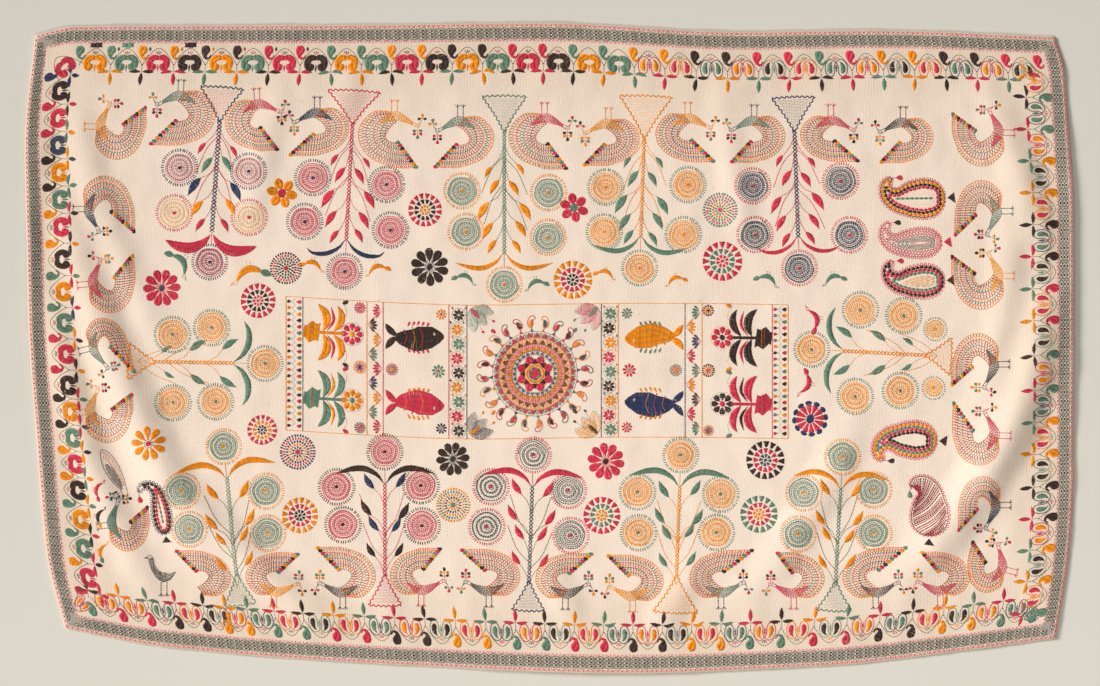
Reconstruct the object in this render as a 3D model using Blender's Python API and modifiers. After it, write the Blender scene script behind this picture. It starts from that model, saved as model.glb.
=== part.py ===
"""Kantha quilt: one quilted cotton cloth with a turned-in hem, laid face up.

The cloth is drawn as its underside, a sheet fitted between four bowed edges
and lifted into soft folds, and is then thickened upwards.  Where no fold
passes, the underside lies flat on the ground plane.  Metres, +Z up, +X along
the length; the origin is under the middle of the cloth.
"""

import bmesh
import bpy
import numpy as np

# ---- driving sizes, metres ------------------------------------------------
CLOTH_THICK = 0.0024     # old cotton layers quilted together
HEM_THICK = 0.0030       # the edge, where the layers are turned in and sewn
HEM_RINGS = 1            # rings of cells that carry the hem's thickness
COLUMNS, ROWS = 62, 37   # cells along the length and across the width
CROWDING = 0.25          # how far the cells crowd towards the four edges
CURVE_STEPS = 48         # steps used to walk along a fold

CORNERS = {
    # corner: (x, y)
    "far_left": (-0.885, 0.541),
    "far_right": (0.869, 0.538),
    "near_left": (-0.833, -0.480),
    "near_right": (0.871, -0.497),
}

EDGE_BOWS = {
    # edge: rows of (share of the way along, metres beyond the straight line)
    "far": [(0.04, 0.0155), (0.31, 0.0185), (0.50, 0.0225), (0.69, 0.008), (0.82, 0.011)],
    "near": [(0.10, 0.030), (0.31, 0.055), (0.55, 0.067), (0.77, 0.051), (0.91, 0.022)],
    "left": [(0.19, 0.027), (0.35, 0.031), (0.52, 0.036), (0.72, 0.032), (0.87, 0.026)],
    "right": [(0.06, 0.017), (0.18, 0.025), (0.30, 0.031), (0.73, 0.031), (0.85, 0.024)],
}

FOLDS = [
    # (name, start xy, middle xy, end xy, half width, height)
    ("left sweep", (-0.838, 0.308), (-0.742, -0.040), (-0.541, -0.432), 0.060, 0.019),
    ("left shoulder", (-0.816, 0.437), (-0.768, 0.230), (-0.661, 0.007), 0.045, 0.010),
    ("left outer", (-0.859, 0.153), (-0.800, -0.150), (-0.672, -0.440), 0.042, 0.011),
    ("left foot", (-0.618, -0.225), (-0.515, -0.363), (-0.352, -0.487), 0.046, 0.011),
    ("right sweep", (0.844, 0.136), (0.789, -0.139), (0.577, -0.432), 0.060, 0.020),
    ("right shoulder", (0.796, 0.342), (0.775, 0.033), (0.706, -0.208), 0.045, 0.008),
    ("right outer", (0.740, 0.480), (0.826, 0.256), (0.852, 0.136), 0.045, 0.008),
    ("right soft", (0.538, -0.088), (0.457, -0.260), (0.319, -0.458), 0.050, 0.008),
    ("foot middle", (0.267, -0.337), (0.216, -0.432), (0.173, -0.505), 0.042, 0.006),
    ("foot left", (-0.317, -0.354), (-0.289, -0.405), (-0.255, -0.470), 0.040, 0.005),
    ("foot right", (-0.008, -0.363), (0.022, -0.420), (0.053, -0.490), 0.040, 0.005),
    ("head left", (-0.455, 0.471), (-0.495, 0.325), (-0.519, 0.188), 0.040, 0.005),
    ("head inner", (-0.340, 0.500), (-0.350, 0.430), (-0.369, 0.360), 0.038, 0.004),
    ("head right", (0.285, 0.497), (0.319, 0.290), (0.336, 0.188), 0.040, 0.005),
    ("left hem lift", (-0.880, 0.400), (-0.899, 0.130), (-0.884, -0.140), 0.035, 0.007),
    ("right hem lift", (0.893, 0.420), (0.903, 0.140), (0.902, -0.150), 0.035, 0.006),
    ("near hem lift", (-0.180, -0.548), (0.060, -0.556), (0.330, -0.546), 0.035, 0.006),
]


def edge_bow(edge, along):
    """Metres by which an edge stands outside its straight line: a smooth cubic
    through the table's rows, nothing at the two corners.  Its slope at a row is
    the harmonic mean of the slopes either side, so it never overshoots a row."""
    rows = [(0.0, 0.0)] + EDGE_BOWS[edge] + [(1.0, 0.0)]
    at, out = (np.array(column) for column in zip(*rows))
    chord = np.diff(out) / np.diff(at)
    slope = np.concatenate([chord[:1], np.zeros(len(at) - 2), chord[-1:]])
    agree = chord[:-1] * chord[1:] > 0
    both = np.where(agree, chord[:-1] + chord[1:], 1.0)
    slope[1:-1] = np.where(agree, 2 * chord[:-1] * chord[1:] / both, 0.0)
    cell = np.clip(np.searchsorted(at, along) - 1, 0, len(at) - 2)
    step = at[cell + 1] - at[cell]
    part = (along - at[cell]) / step
    rise = part * part * (3 - 2 * part)
    leave = part * (1 - part) ** 2 * step * slope[cell]
    arrive = part * part * (part - 1) * step * slope[cell + 1]
    return out[cell] * (1 - rise) + out[cell + 1] * rise + leave + arrive


def plan(along, across):
    """Plan position of the point that lies `along` of the length from the left
    and `across` of the width from the near edge: the four corners blended
    evenly, pushed outwards by each edge's bow in proportion to its nearness."""
    corner = {name: np.array(xy) for name, xy in CORNERS.items()}
    a, b = along[..., None], across[..., None]
    flat = (corner["near_left"] * (1 - a) * (1 - b) + corner["near_right"] * a * (1 - b)
            + corner["far_left"] * (1 - a) * b + corner["far_right"] * a * b)
    x = (flat[..., 0] + along * edge_bow("right", 1 - across)
         - (1 - along) * edge_bow("left", 1 - across))
    y = (flat[..., 1] + across * edge_bow("far", along)
         - (1 - across) * edge_bow("near", along))
    return x, y


def fold_lift(x, y):
    """Height of the underside over the plan: each fold is a soft ridge along a
    curve through its three points, a squared cosine across and tapering to
    nothing at both ends; where folds meet, their heights add."""
    lift = np.zeros_like(x)
    step = np.linspace(0.0, 1.0, CURVE_STEPS)
    for _name, start, middle, end, half_width, height in FOLDS:
        start, middle, end = np.array(start), np.array(middle), np.array(end)
        pull = 2 * middle - (start + end) / 2
        curve = (np.outer((1 - step) ** 2, start) + np.outer(2 * step * (1 - step), pull)
                 + np.outer(step ** 2, end))
        apart = np.hypot(x[..., None] - curve[:, 0], y[..., None] - curve[:, 1])
        near = apart.argmin(-1)
        reach = np.clip(apart.min(-1) / half_width, 0, 1)
        crest = np.sin(np.pi * step[near]) ** 0.8
        lift += np.where(reach < 1, height * crest * np.cos(reach * np.pi / 2) ** 2, 0)
    return lift


def crowded(cells):
    """Shares 0 to 1 in `cells` steps that grow shorter towards both ends."""
    s = np.linspace(-1.0, 1.0, cells + 1)
    return 0.5 + 0.5 * s * (1 + CROWDING * (1 - s * s))


def clear_scene():
    for thing in list(bpy.data.objects):
        bpy.data.objects.remove(thing, do_unlink=True)


def cotton():
    """Matt cream cotton."""
    material = bpy.data.materials.new("quilt_cotton")
    material.use_nodes = True
    shader = material.node_tree.nodes["Principled BSDF"]
    shader.inputs["Base Color"].default_value = (0.80, 0.71, 0.56, 1.0)
    shader.inputs["Roughness"].default_value = 0.9
    return material


def build_quilt(collection):
    """The underside as one grid of four-sided cells, then thickened upwards,
    a little more along the turned-in hem."""
    along, across = np.meshgrid(crowded(COLUMNS), crowded(ROWS))
    x, y = plan(along, across)
    x -= (x.min() + x.max()) / 2
    y -= (y.min() + y.max()) / 2
    z = fold_lift(x, y)

    mesh = bpy.data.meshes.new("quilt")
    shell = bmesh.new()
    spots = [[shell.verts.new((x[j, i], y[j, i], z[j, i])) for i in range(COLUMNS + 1)]
             for j in range(ROWS + 1)]
    for j in range(ROWS):
        for i in range(COLUMNS):
            shell.faces.new((spots[j][i], spots[j][i + 1],
                             spots[j + 1][i + 1], spots[j + 1][i]))
    bmesh.ops.recalc_face_normals(shell, faces=shell.faces)
    if sum(face.normal.z for face in shell.faces) < 0:
        bmesh.ops.reverse_faces(shell, faces=shell.faces)
    shell.to_mesh(mesh)
    shell.free()

    quilt = bpy.data.objects.new("quilt", mesh)
    collection.objects.link(quilt)
    hem = quilt.vertex_groups.new(name="hem")
    for j in range(ROWS + 1):
        for i in range(COLUMNS + 1):
            ring = min(i, j, COLUMNS - i, ROWS - j)
            hem.add([j * (COLUMNS + 1) + i], 1.0 if ring < HEM_RINGS else 0.0, "REPLACE")

    thick = quilt.modifiers.new("layers", "SOLIDIFY")
    thick.thickness = HEM_THICK
    thick.offset = 1.0
    thick.use_rim = True
    thick.use_even_offset = False
    thick.vertex_group = "hem"
    thick.thickness_vertex_group = CLOTH_THICK / HEM_THICK
    mesh.materials.append(cotton())
    return quilt


clear_scene()
home = bpy.data.collections.new("kantha_quilt")
bpy.context.scene.collection.children.link(home)
build_quilt(home)
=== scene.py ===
"""Kantha quilt, laid face up: the quilted cotton cloth on its solid's folds, and
every coloured stitch of its embroidery as thread lying on the cloth.

Motifs are drawn in millimetres in their own plan and carried onto the cloth;
the cloth, its folds and the table positions are in metres.
"""

import math

import bpy
import numpy as np
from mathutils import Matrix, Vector


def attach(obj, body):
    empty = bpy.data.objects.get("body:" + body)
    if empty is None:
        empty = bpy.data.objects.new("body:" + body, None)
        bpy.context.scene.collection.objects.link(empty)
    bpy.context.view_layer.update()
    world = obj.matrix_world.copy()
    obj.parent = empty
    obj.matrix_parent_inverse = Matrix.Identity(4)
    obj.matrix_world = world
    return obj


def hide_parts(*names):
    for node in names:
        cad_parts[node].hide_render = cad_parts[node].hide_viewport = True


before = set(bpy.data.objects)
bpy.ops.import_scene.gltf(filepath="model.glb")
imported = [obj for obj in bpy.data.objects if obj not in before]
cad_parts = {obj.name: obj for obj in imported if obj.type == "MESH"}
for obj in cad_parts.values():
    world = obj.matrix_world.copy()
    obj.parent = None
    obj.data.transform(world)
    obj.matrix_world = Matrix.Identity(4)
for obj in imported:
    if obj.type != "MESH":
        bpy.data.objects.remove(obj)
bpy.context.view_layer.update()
rng = np.random.default_rng(1907)

# ---------------------------------------------------------------- sizes, metres
CLOTH_THICK, HEM_THICK, HEM_WIDE = 0.0024, 0.0030, 0.007
EDGE_THICK = 0.0022                   # at the very edge of the hem
SIDE_LONG, SIDE_WIDE = 1.775, 1.060   # what the whole of a long and a short side stands for
PLAN_SHIFT = (0.0003, -0.0010)        # brings the outline's box to the middle
PUCKER_RISE = 0.0006
CELLS_LONG, CELLS_WIDE = 216, 132     # the cloth's cells, face and back alike
CURVE_STEPS = 48                      # places along each fold's curve
TRACE_STEPS = 6                       # corrections that trace a place back to its shares

CORNERS = {
    "far_left": (-0.885, 0.541),
    "far_right": (0.869, 0.538),
    "near_left": (-0.833, -0.480),
    "near_right": (0.871, -0.497),
}
EDGE_BOWS = {
    # edge: rows of (share of the way along, metres beyond the straight line)
    "far": [(0.04, 0.0155), (0.31, 0.0185), (0.50, 0.0225), (0.69, 0.008), (0.82, 0.011)],
    "near": [(0.10, 0.030), (0.31, 0.055), (0.55, 0.067), (0.77, 0.051), (0.91, 0.022)],
    "left": [(0.19, 0.027), (0.35, 0.031), (0.52, 0.036), (0.72, 0.032), (0.87, 0.026)],
    "right": [(0.06, 0.017), (0.18, 0.025), (0.30, 0.031), (0.73, 0.031), (0.85, 0.024)],
}
FOLDS = [
    # (name, start xy, middle xy, end xy, half width, height)
    ("left sweep", (-0.838, 0.308), (-0.742, -0.040), (-0.541, -0.432), 0.060, 0.019),
    ("left shoulder", (-0.816, 0.437), (-0.768, 0.230), (-0.661, 0.007), 0.045, 0.010),
    ("left outer", (-0.859, 0.153), (-0.800, -0.150), (-0.672, -0.440), 0.042, 0.011),
    ("left foot", (-0.618, -0.225), (-0.515, -0.363), (-0.352, -0.487), 0.046, 0.011),
    ("right sweep", (0.844, 0.136), (0.789, -0.139), (0.577, -0.432), 0.060, 0.020),
    ("right shoulder", (0.796, 0.342), (0.775, 0.033), (0.706, -0.208), 0.045, 0.008),
    ("right outer", (0.740, 0.480), (0.826, 0.256), (0.852, 0.136), 0.045, 0.008),
    ("right soft", (0.538, -0.088), (0.457, -0.260), (0.319, -0.458), 0.050, 0.008),
    ("foot middle", (0.267, -0.337), (0.216, -0.432), (0.173, -0.505), 0.042, 0.006),
    ("foot left", (-0.317, -0.354), (-0.289, -0.405), (-0.255, -0.470), 0.040, 0.005),
    ("foot right", (-0.008, -0.363), (0.022, -0.420), (0.053, -0.490), 0.040, 0.005),
    ("head left", (-0.455, 0.471), (-0.495, 0.325), (-0.519, 0.188), 0.040, 0.005),
    ("head inner", (-0.340, 0.500), (-0.350, 0.430), (-0.369, 0.360), 0.038, 0.004),
    ("head right", (0.285, 0.497), (0.319, 0.290), (0.336, 0.188), 0.040, 0.005),
    ("left hem lift", (-0.880, 0.400), (-0.899, 0.130), (-0.884, -0.140), 0.035, 0.007),
    ("right hem lift", (0.893, 0.420), (0.903, 0.140), (0.902, -0.150), 0.035, 0.006),
    ("near hem lift", (-0.180, -0.548), (0.060, -0.556), (0.330, -0.546), 0.035, 0.006),
]
PUCKERS = [
    # (waves a metre along x, along y, start turn, height in metres)
    (7.1, 2.3, 0.4, 0.00050),
    (3.3, -8.7, 2.1, 0.00045),
    (13.0, 6.0, 4.0, 0.00028),
    (-10.5, 15.0, 1.2, 0.00026),
    (23.0, -4.0, 3.3, 0.00018),
    (4.0, 31.0, 5.1, 0.00015),
    (34.0, 12.0, 0.9, 0.00012),
]

# ------------------------------------------------------- the cloth's own shape


def edge_bow(edge, along):
    """Metres by which an edge stands outside its straight line: a smooth cubic
    through the table's rows, nothing at the two corners, whose slope at a row is
    the harmonic mean of the slopes either side."""
    rows = [(0.0, 0.0)] + EDGE_BOWS[edge] + [(1.0, 0.0)]
    at, out = (np.array(column) for column in zip(*rows))
    chord = np.diff(out) / np.diff(at)
    slope = np.concatenate([chord[:1], np.zeros(len(at) - 2), chord[-1:]])
    agree = chord[:-1] * chord[1:] > 0
    both = np.where(agree, chord[:-1] + chord[1:], 1.0)
    slope[1:-1] = np.where(agree, 2 * chord[:-1] * chord[1:] / both, 0.0)
    cell = np.clip(np.searchsorted(at, along) - 1, 0, len(at) - 2)
    step = at[cell + 1] - at[cell]
    part = (along - at[cell]) / step
    rise = part * part * (3 - 2 * part)
    leave = part * (1 - part) ** 2 * step * slope[cell]
    arrive = part * part * (part - 1) * step * slope[cell + 1]
    return out[cell] * (1 - rise) + out[cell + 1] * rise + leave + arrive


def plan(along, across):
    """Plan position of the point `along` of the length from the left and
    `across` of the width from the near edge: the four corners blended evenly,
    pushed outwards by each edge's bow in proportion to its nearness."""
    along, across = np.broadcast_arrays(np.asarray(along, float), np.asarray(across, float))
    corner = {name: np.array(xy) for name, xy in CORNERS.items()}
    a, b = along[..., None], across[..., None]
    flat = (corner["near_left"] * (1 - a) * (1 - b) + corner["near_right"] * a * (1 - b)
            + corner["far_left"] * (1 - a) * b + corner["far_right"] * a * b)
    x = (flat[..., 0] + along * edge_bow("right", 1 - across)
         - (1 - along) * edge_bow("left", 1 - across))
    y = (flat[..., 1] + across * edge_bow("far", along)
         - (1 - across) * edge_bow("near", along))
    return x + PLAN_SHIFT[0], y + PLAN_SHIFT[1]


def fold_lift(x, y):
    """Height of the underside over the plan: each fold is a soft ridge along a
    curve through its three points, a squared cosine across and tapering to
    nothing at both ends; where folds meet, their heights add."""
    lift = np.zeros_like(x)
    step = np.linspace(0.0, 1.0, CURVE_STEPS)
    for _name, start, middle, end, half_width, height in FOLDS:
        start, middle, end = np.array(start), np.array(middle), np.array(end)
        pull = 2 * middle - (start + end) / 2
        curve = (np.outer((1 - step) ** 2, start) + np.outer(2 * step * (1 - step), pull)
                 + np.outer(step ** 2, end))
        low, high = curve.min(0) - half_width, curve.max(0) + half_width
        near = np.flatnonzero((x >= low[0]) & (x <= high[0]) & (y >= low[1]) & (y <= high[1]))
        apart = np.hypot(x[near, None] - curve[:, 0], y[near, None] - curve[:, 1])
        first = np.clip(apart.argmin(1), 1, CURVE_STEPS - 2)
        # between steps: distance to the chord through the neighbours of the nearest step
        chord = curve[first + 1] - curve[first - 1]
        size = np.hypot(chord[:, 0], chord[:, 1])
        off = np.stack([x[near], y[near]], 1) - curve[first - 1]
        share = np.clip((off * chord).sum(1) / size ** 2, 0, 1)
        gap = off - chord * share[:, None]
        reach = np.clip(np.hypot(gap[:, 0], gap[:, 1]) / half_width, 0, 1)
        at = (first - 1 + 2 * share) / (CURVE_STEPS - 1)
        crest = np.sin(np.pi * np.clip(at, 0, 1)) ** 0.8
        lift[near] += np.where(reach < 1, height * crest * np.cos(reach * np.pi / 2) ** 2, 0)
    return lift


def puckers(x, y):
    """Soft hand-quilted unevenness: a sum of crossed waves of the table's lengths
    and heights, raised a little and cut off at nothing."""
    total = sum(h * np.sin(2 * np.pi * (fx * x + fy * y) + turn + 1.3 * np.sin(5 * x + 7 * y))
                for fx, fy, turn, h in PUCKERS)
    return np.maximum(total + PUCKER_RISE, 0.0)


def underside(x, y):
    """Height of the cloth's back: its folds and its puckers added."""
    shape = x.shape
    x, y = x.ravel(), y.ravel()
    return (fold_lift(x, y) + puckers(x, y)).reshape(shape)


def cloth_grid():
    """The cloth's grid: along and across shares, plan places, and the heights of
    its back and of its face, which is one thickness above the back and swells to
    the hem's thickness."""
    along, across = np.meshgrid(np.linspace(0, 1, CELLS_LONG + 1), np.linspace(0, 1, CELLS_WIDE + 1))
    x, y = plan(along, across)
    hem = np.minimum(np.minimum(along, 1 - along) * SIDE_LONG, np.minimum(across, 1 - across) * SIDE_WIDE)
    low = underside(x, y)
    swell = np.interp(hem, [0, 0.0001, HEM_WIDE, HEM_WIDE * 1.6],
                      [EDGE_THICK, HEM_THICK, HEM_THICK, CLOTH_THICK])
    return along, across, x, y, low, low + swell


def on_cloth(x, y, face):
    """Height of the grid's face at plan places: each place is traced back to its
    shares by repeated small corrections, and the height is taken evenly between
    the corners of its cell."""
    along, across = x / SIDE_LONG + 0.5, y / SIDE_WIDE + 0.5
    for _step in range(TRACE_STEPS):
        px, py = plan(along, across)
        along, across = along + (x - px) / SIDE_LONG, across + (y - py) / SIDE_WIDE
    u, v = np.clip(along, 0, 1) * CELLS_LONG, np.clip(across, 0, 1) * CELLS_WIDE
    i, j = np.minimum(u.astype(int), CELLS_LONG - 1), np.minimum(v.astype(int), CELLS_WIDE - 1)
    u, v = u - i, v - j
    return ((face[j, i] * (1 - u) + face[j, i + 1] * u) * (1 - v)
            + (face[j + 1, i] * (1 - u) + face[j + 1, i + 1] * u) * v)


# -------------------------------------------------------------- thread colours
THREADS = {
    # name: (red, green, blue), linear
    "crimson": (0.660, 0.046, 0.084),
    "ochre": (0.870, 0.292, 0.010),
    "green": (0.150, 0.258, 0.172),
    "black": (0.060, 0.036, 0.028),
    "navy": (0.044, 0.054, 0.115),
    "pink": (0.640, 0.110, 0.155),
    "peach": (0.860, 0.415, 0.100),
    "pale_green": (0.240, 0.330, 0.235),
    "slate": (0.070, 0.088, 0.120),
    "olive": (0.165, 0.150, 0.075),
    "drab": (0.150, 0.132, 0.110),
    "cream": (0.820, 0.720, 0.540),
}
WORK = {colour: [] for colour in THREADS}

# ------------------------------------------------------ stitch sizes, metres
SATIN_GAP, SATIN_WIDE = 0.0015, 0.0020
RUN_LONG, RUN_GAP, RUN_WIDE = 0.0034, 0.0011, 0.0013
SHORTEST, LONGEST = 0.0006, 0.0110    # run stitches kept; one length of a long stitch
RUN_UNEVEN, FILL_UNEVEN, SATIN_UNEVEN = 0.00010, 0.00012, 0.00016
NIP = 0.0006                          # how far a strand's ends slope
SHORT_FILL, CLOSED_STEPS = 0.7, 6     # shortest stitch of a fill, mm; steps between outline points
FOOT_SUNK, RIDGE_LEAST = 0.00030, 0.00055
RIDGE_SHARE, FOOT_SHARE, FOOT_SPREAD = 0.30, 0.54, 0.00008   # of the thread's width, and metres


def sew(colour, ends, width):
    """Adds stitches: rows of start x, start y, end x, end y on the cloth."""
    ends = np.asarray(ends, float).reshape(-1, 4)
    if len(ends):
        WORK[colour].append(np.column_stack([ends, np.broadcast_to(width, len(ends))]))


# -------------------------------------------------- carrying motifs to the cloth


def place(x, y, turn=0.0, flip=1, size=1.0):
    """Carries a motif's millimetres to the cloth: mirrored if flip is -1, scaled,
    turned anticlockwise by `turn` degrees and moved to (x, y) metres."""
    c, s = math.cos(math.radians(turn)), math.sin(math.radians(turn))

    def lay(points):
        # scale and mirror, then turn and move
        p = np.asarray(points, float) * (size / 1000.0)
        px, py = p[..., 0] * flip, p[..., 1]
        return np.stack([x + c * px - s * py, y + s * px + c * py], -1)
    return lay


def shifted(lay, move=(0.0, 0.0), scale=(1.0, 1.0)):
    """Carries millimetres as `lay` does, after scaling and then moving them."""
    return lambda points: lay(np.asarray(points, float) * scale + move)


def beside(side, centre=0.0):
    """Carries millimetres, along the side from `centre` metres and inwards from
    the edge, to the cloth: as shares of the two sides, so that they follow the
    bowed edge."""
    def lay(points):
        # millimetres to shares of the side and of the depth, then to the plan
        p = np.asarray(points, float) / 1000.0
        s, depth = centre + p[..., 0], p[..., 1]
        if side in ("far", "near"):
            along = 0.5 + s / SIDE_LONG
            inward = depth / SIDE_WIDE
            x, y = plan(along, 1 - inward if side == "far" else inward)
        else:
            across = 0.5 + s / SIDE_WIDE
            inward = depth / SIDE_LONG
            x, y = plan(1 - inward if side == "right" else inward, across)
        return np.stack([x, y], -1)
    return lay


# ---------------------------------------------------------------- stitching


def through(points, steps=12):
    """A smooth line through a few points: each stretch is a cubic whose slope at
    a point is half the step between that point's neighbours."""
    p = np.asarray(points, float)
    if len(p) < 3:
        return p
    slope = np.vstack([p[1] - p[0], (p[2:] - p[:-2]) / 2, p[-1] - p[-2]])
    t = np.linspace(0, 1, steps, endpoint=False)[:, None]
    parts = [(2 * t ** 3 - 3 * t ** 2 + 1) * p[i] + (t ** 3 - 2 * t ** 2 + t) * slope[i]
             + (3 * t ** 2 - 2 * t ** 3) * p[i + 1] + (t ** 3 - t ** 2) * slope[i + 1]
             for i in range(len(p) - 1)]
    return np.vstack(parts + [p[-1:]])


def arc(cx, cy, r, start, end, steps=40):
    """Points round a circle from `start` to `end` degrees."""
    t = np.radians(np.linspace(start, end, steps))
    return np.stack([cx + r * np.cos(t), cy + r * np.sin(t)], 1)


def walked(path):
    """Distance walked along a path at each of its points."""
    return np.concatenate([[0], np.cumsum(np.hypot(*np.diff(np.asarray(path, float), axis=0).T))])


def spots(path, at):
    """Points at the walked distances `at`, straight between the path's own."""
    path = np.asarray(path, float)
    far = walked(path)
    return np.stack([np.interp(at, far, path[:, 0]), np.interp(at, far, path[:, 1])], 1)


def headings(path, at, reach):
    """The places at the walked distances `at`, the unit step along the path there,
    taken from `reach` behind to `reach` ahead, and the unit step to its left."""
    middle, ahead = spots(path, at), spots(path, at + reach) - spots(path, at - reach)
    ahead /= np.maximum(np.hypot(ahead[:, :1], ahead[:, 1:]), 1e-9)
    return middle, ahead, np.stack([-ahead[:, 1], ahead[:, 0]], 1)


def ray_at(degrees):
    """The unit step from a centre at an angle: its cosine and its sine."""
    return np.array([math.cos(math.radians(degrees)), math.sin(math.radians(degrees))])


def stitch(colour, lay, starts, ends, wide):
    """Single stitches from places to places in a motif's millimetres."""
    sew(colour, np.hstack([lay(starts), lay(ends)]), wide)


def run(colour, path, lay, long=RUN_LONG, gap=RUN_GAP, wide=RUN_WIDE, shift=0.0):
    """Running stitch: stitches `long`, each `gap` from the next, along a path, with
    the two stretched together to fit its length and each start a little uneven."""
    path = lay(path)
    total = walked(path)[-1]
    count = max(1, int(round(total / (long + gap))))
    pitch = total / count
    start = (np.arange(count) + shift) * pitch + rng.uniform(-0.1, 0.1, count) * gap
    start = np.clip(start, 0, total)
    end = np.clip(start + pitch * long / (long + gap), 0, total)
    keep = end - start > SHORTEST
    ends = np.hstack([spots(path, start[keep]), spots(path, end[keep])])
    sew(colour, ends + rng.normal(0, RUN_UNEVEN, ends.shape), wide)


def slanted(colour, path, lay, half=1.3, pitch=0.0030, lean=1.6, wide=0.0013, crossed=False):
    """A braid line: slanting stitches crossing a path, leaning one way and then
    the other in turn, or both ways at every step."""
    fine = spots(path, np.linspace(0, walked(path)[-1], 80))
    count = max(2, int(round(walked(lay(fine))[-1] / pitch)))
    at = (np.arange(count) + 0.5) / count * walked(fine)[-1]
    middle, ahead, side = headings(fine, at, 0.01)
    turn = np.where(np.arange(count) % 2, half, -half)[:, None]
    for way in ((turn, -turn) if crossed else (turn,)):
        slant = side * way + ahead * lean
        stitch(colour, lay, middle - slant, middle + slant, wide)


def leaf(t):
    """Half width of an even leaf along its length: a sine, made a little fuller."""
    return np.sin(np.pi * t) ** 0.8


def blade(t):
    """A pointed leaf, broadest just before its middle: a sine of the place drawn
    forward, made a little slimmer."""
    return np.sin(np.pi * t ** 0.86) ** 1.15


def drop(t):
    """Narrow at the start and round at the end: the place times the root of what
    is left, fullest at two thirds."""
    return np.clip(2.58 * t ** 1.1 * np.sqrt(np.clip(1 - t, 0, 1)) + 0.04, 0, 1)


def disc(t):
    """A half circle's height over its width."""
    return 2 * np.sqrt(np.clip(t * (1 - t), 0, 1))


def closed(points):
    """A smooth closed line through a few points: the open line through them with
    its first and last points repeated, less those repeats."""
    p = np.asarray(points, float)
    return through(np.vstack([p[-2:], p, p[:3]]), CLOSED_STEPS)[2 * CLOSED_STEPS:(2 + len(p)) * CLOSED_STEPS]


def fill(colour, outline, lay, gap=1.5, wide=SATIN_WIDE, turn=0.0, smooth=True):
    """A filled shape: parallel stitches `gap` millimetres apart, lying at `turn`
    degrees, each from edge to edge of a closed outline."""
    p = closed(outline) if smooth else np.asarray(outline, float)
    c, s = math.cos(math.radians(turn)), math.sin(math.radians(turn))
    a = np.stack([c * p[:, 0] + s * p[:, 1], c * p[:, 1] - s * p[:, 0]], 1)
    b = np.roll(a, -1, 0)
    rows = np.arange(a[:, 1].min() + gap * 0.6, a[:, 1].max(), gap)[:, None]
    crosses = (a[:, 1] <= rows) != (b[:, 1] <= rows)
    rise = np.where(a[:, 1] == b[:, 1], 1.0, b[:, 1] - a[:, 1])
    x = np.where(crosses, a[:, 0] + (rows - a[:, 1]) / rise * (b[:, 0] - a[:, 0]), np.inf)
    x = np.sort(x, 1)[:, :6]
    start, end = x[:, 0::2], x[:, 1::2]
    inside = np.isfinite(end)
    keep = inside & (np.where(inside, end, 0) - np.where(inside, start, 0) > SHORT_FILL)
    y = np.broadcast_to(rows, start.shape)[keep]
    back = lambda u: lay(np.stack([c * u - s * y, s * u + c * y], 1))
    ends = np.hstack([back(start[keep]), back(end[keep])])
    sew(colour, ends + rng.normal(0, FILL_UNEVEN, ends.shape), wide)


def beads(colour, path, lay, long=7.4, half=1.9, shift=0.0):
    """A chain of filled lozenges along a path, three stitches to each: a long one
    between two short ones."""
    path = lay(path)
    total = walked(path)[-1]
    count = max(1, int(round(total / (long / 1000))))
    pitch = total / count
    middle, ahead, side = headings(path, (np.arange(count) + 0.5 + shift) * pitch, 0.0006)
    for off, share in ((0.0, 0.52), (-0.60, 0.36), (0.60, 0.36)):
        base = middle + side * (half / 1000 * off)
        sew(colour, np.hstack([base - ahead * pitch * share, base + ahead * pitch * share]), half * 0.0011)


def satin(colour, spine, half, shape, lay, gap=SATIN_GAP, wide=SATIN_WIDE, skew=0.15):
    """A filled shape: stitches side by side across a spine, each as long as the
    shape is wide there: half times the shape's profile either side."""
    fine = through(spine)
    length = walked(fine)[-1]
    count = max(3, int(round(walked(lay(fine))[-1] / gap)))
    share = (np.arange(count) + 0.5) / count
    middle, ahead, side = headings(fine, share * length, 0.02 * length)
    off = (side + ahead * skew) * half * shape(share)[:, None]
    ends = np.hstack([lay(middle - off), lay(middle + off)])
    sew(colour, ends + rng.normal(0, SATIN_UNEVEN, ends.shape), wide)


def dot(colour, r, lay, x=0.0, y=0.0, **how):
    """A filled disc."""
    satin(colour, [(x - r, y), (x + r, y)], r, disc, lay, **how)


def hoop(colour, r, steps, lay, x=0.0, y=0.0, **how):
    """A circle of running stitch."""
    run(colour, arc(x, y, r, 0, 360, steps), lay, **how)


def fan_ticks(colour, r0, r1, count, lay, start=0.0, wide=0.0011):
    """Ticks standing out round a circle, evenly spaced from radius r0 to r1, each a
    little astray in its angle and length."""
    t = np.radians(start + 360.0 * (np.arange(count) + 0.5) / count) + rng.normal(0, 0.012, count)
    ray = np.stack([np.cos(t), np.sin(t)], 1)
    stitch(colour, lay, ray * r0, ray * (r1 + rng.normal(0, 0.15, (count, 1))), wide)


def petals(colour, r0, r1, half, count, lay, start=0.0, shape=drop):
    """A ring of filled petals, evenly spaced from radius r0 to r1."""
    for k in range(count):
        ray = ray_at(start + 360.0 * k / count)
        satin(colour, [ray * r0, ray * r1], half, shape, lay, skew=0.0)


def wedges(colour, r0, r1, count, lay, start=0.0, plump=1.05):
    """A ring of filled triangles pointing outwards, whose bases share out the
    inner circle."""
    petals(colour, r0, r1, math.pi * r0 / count * plump, count, lay, start, lambda s: 1.0 - 0.92 * s)


# --------------------------------------------------------------------- motifs


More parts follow.
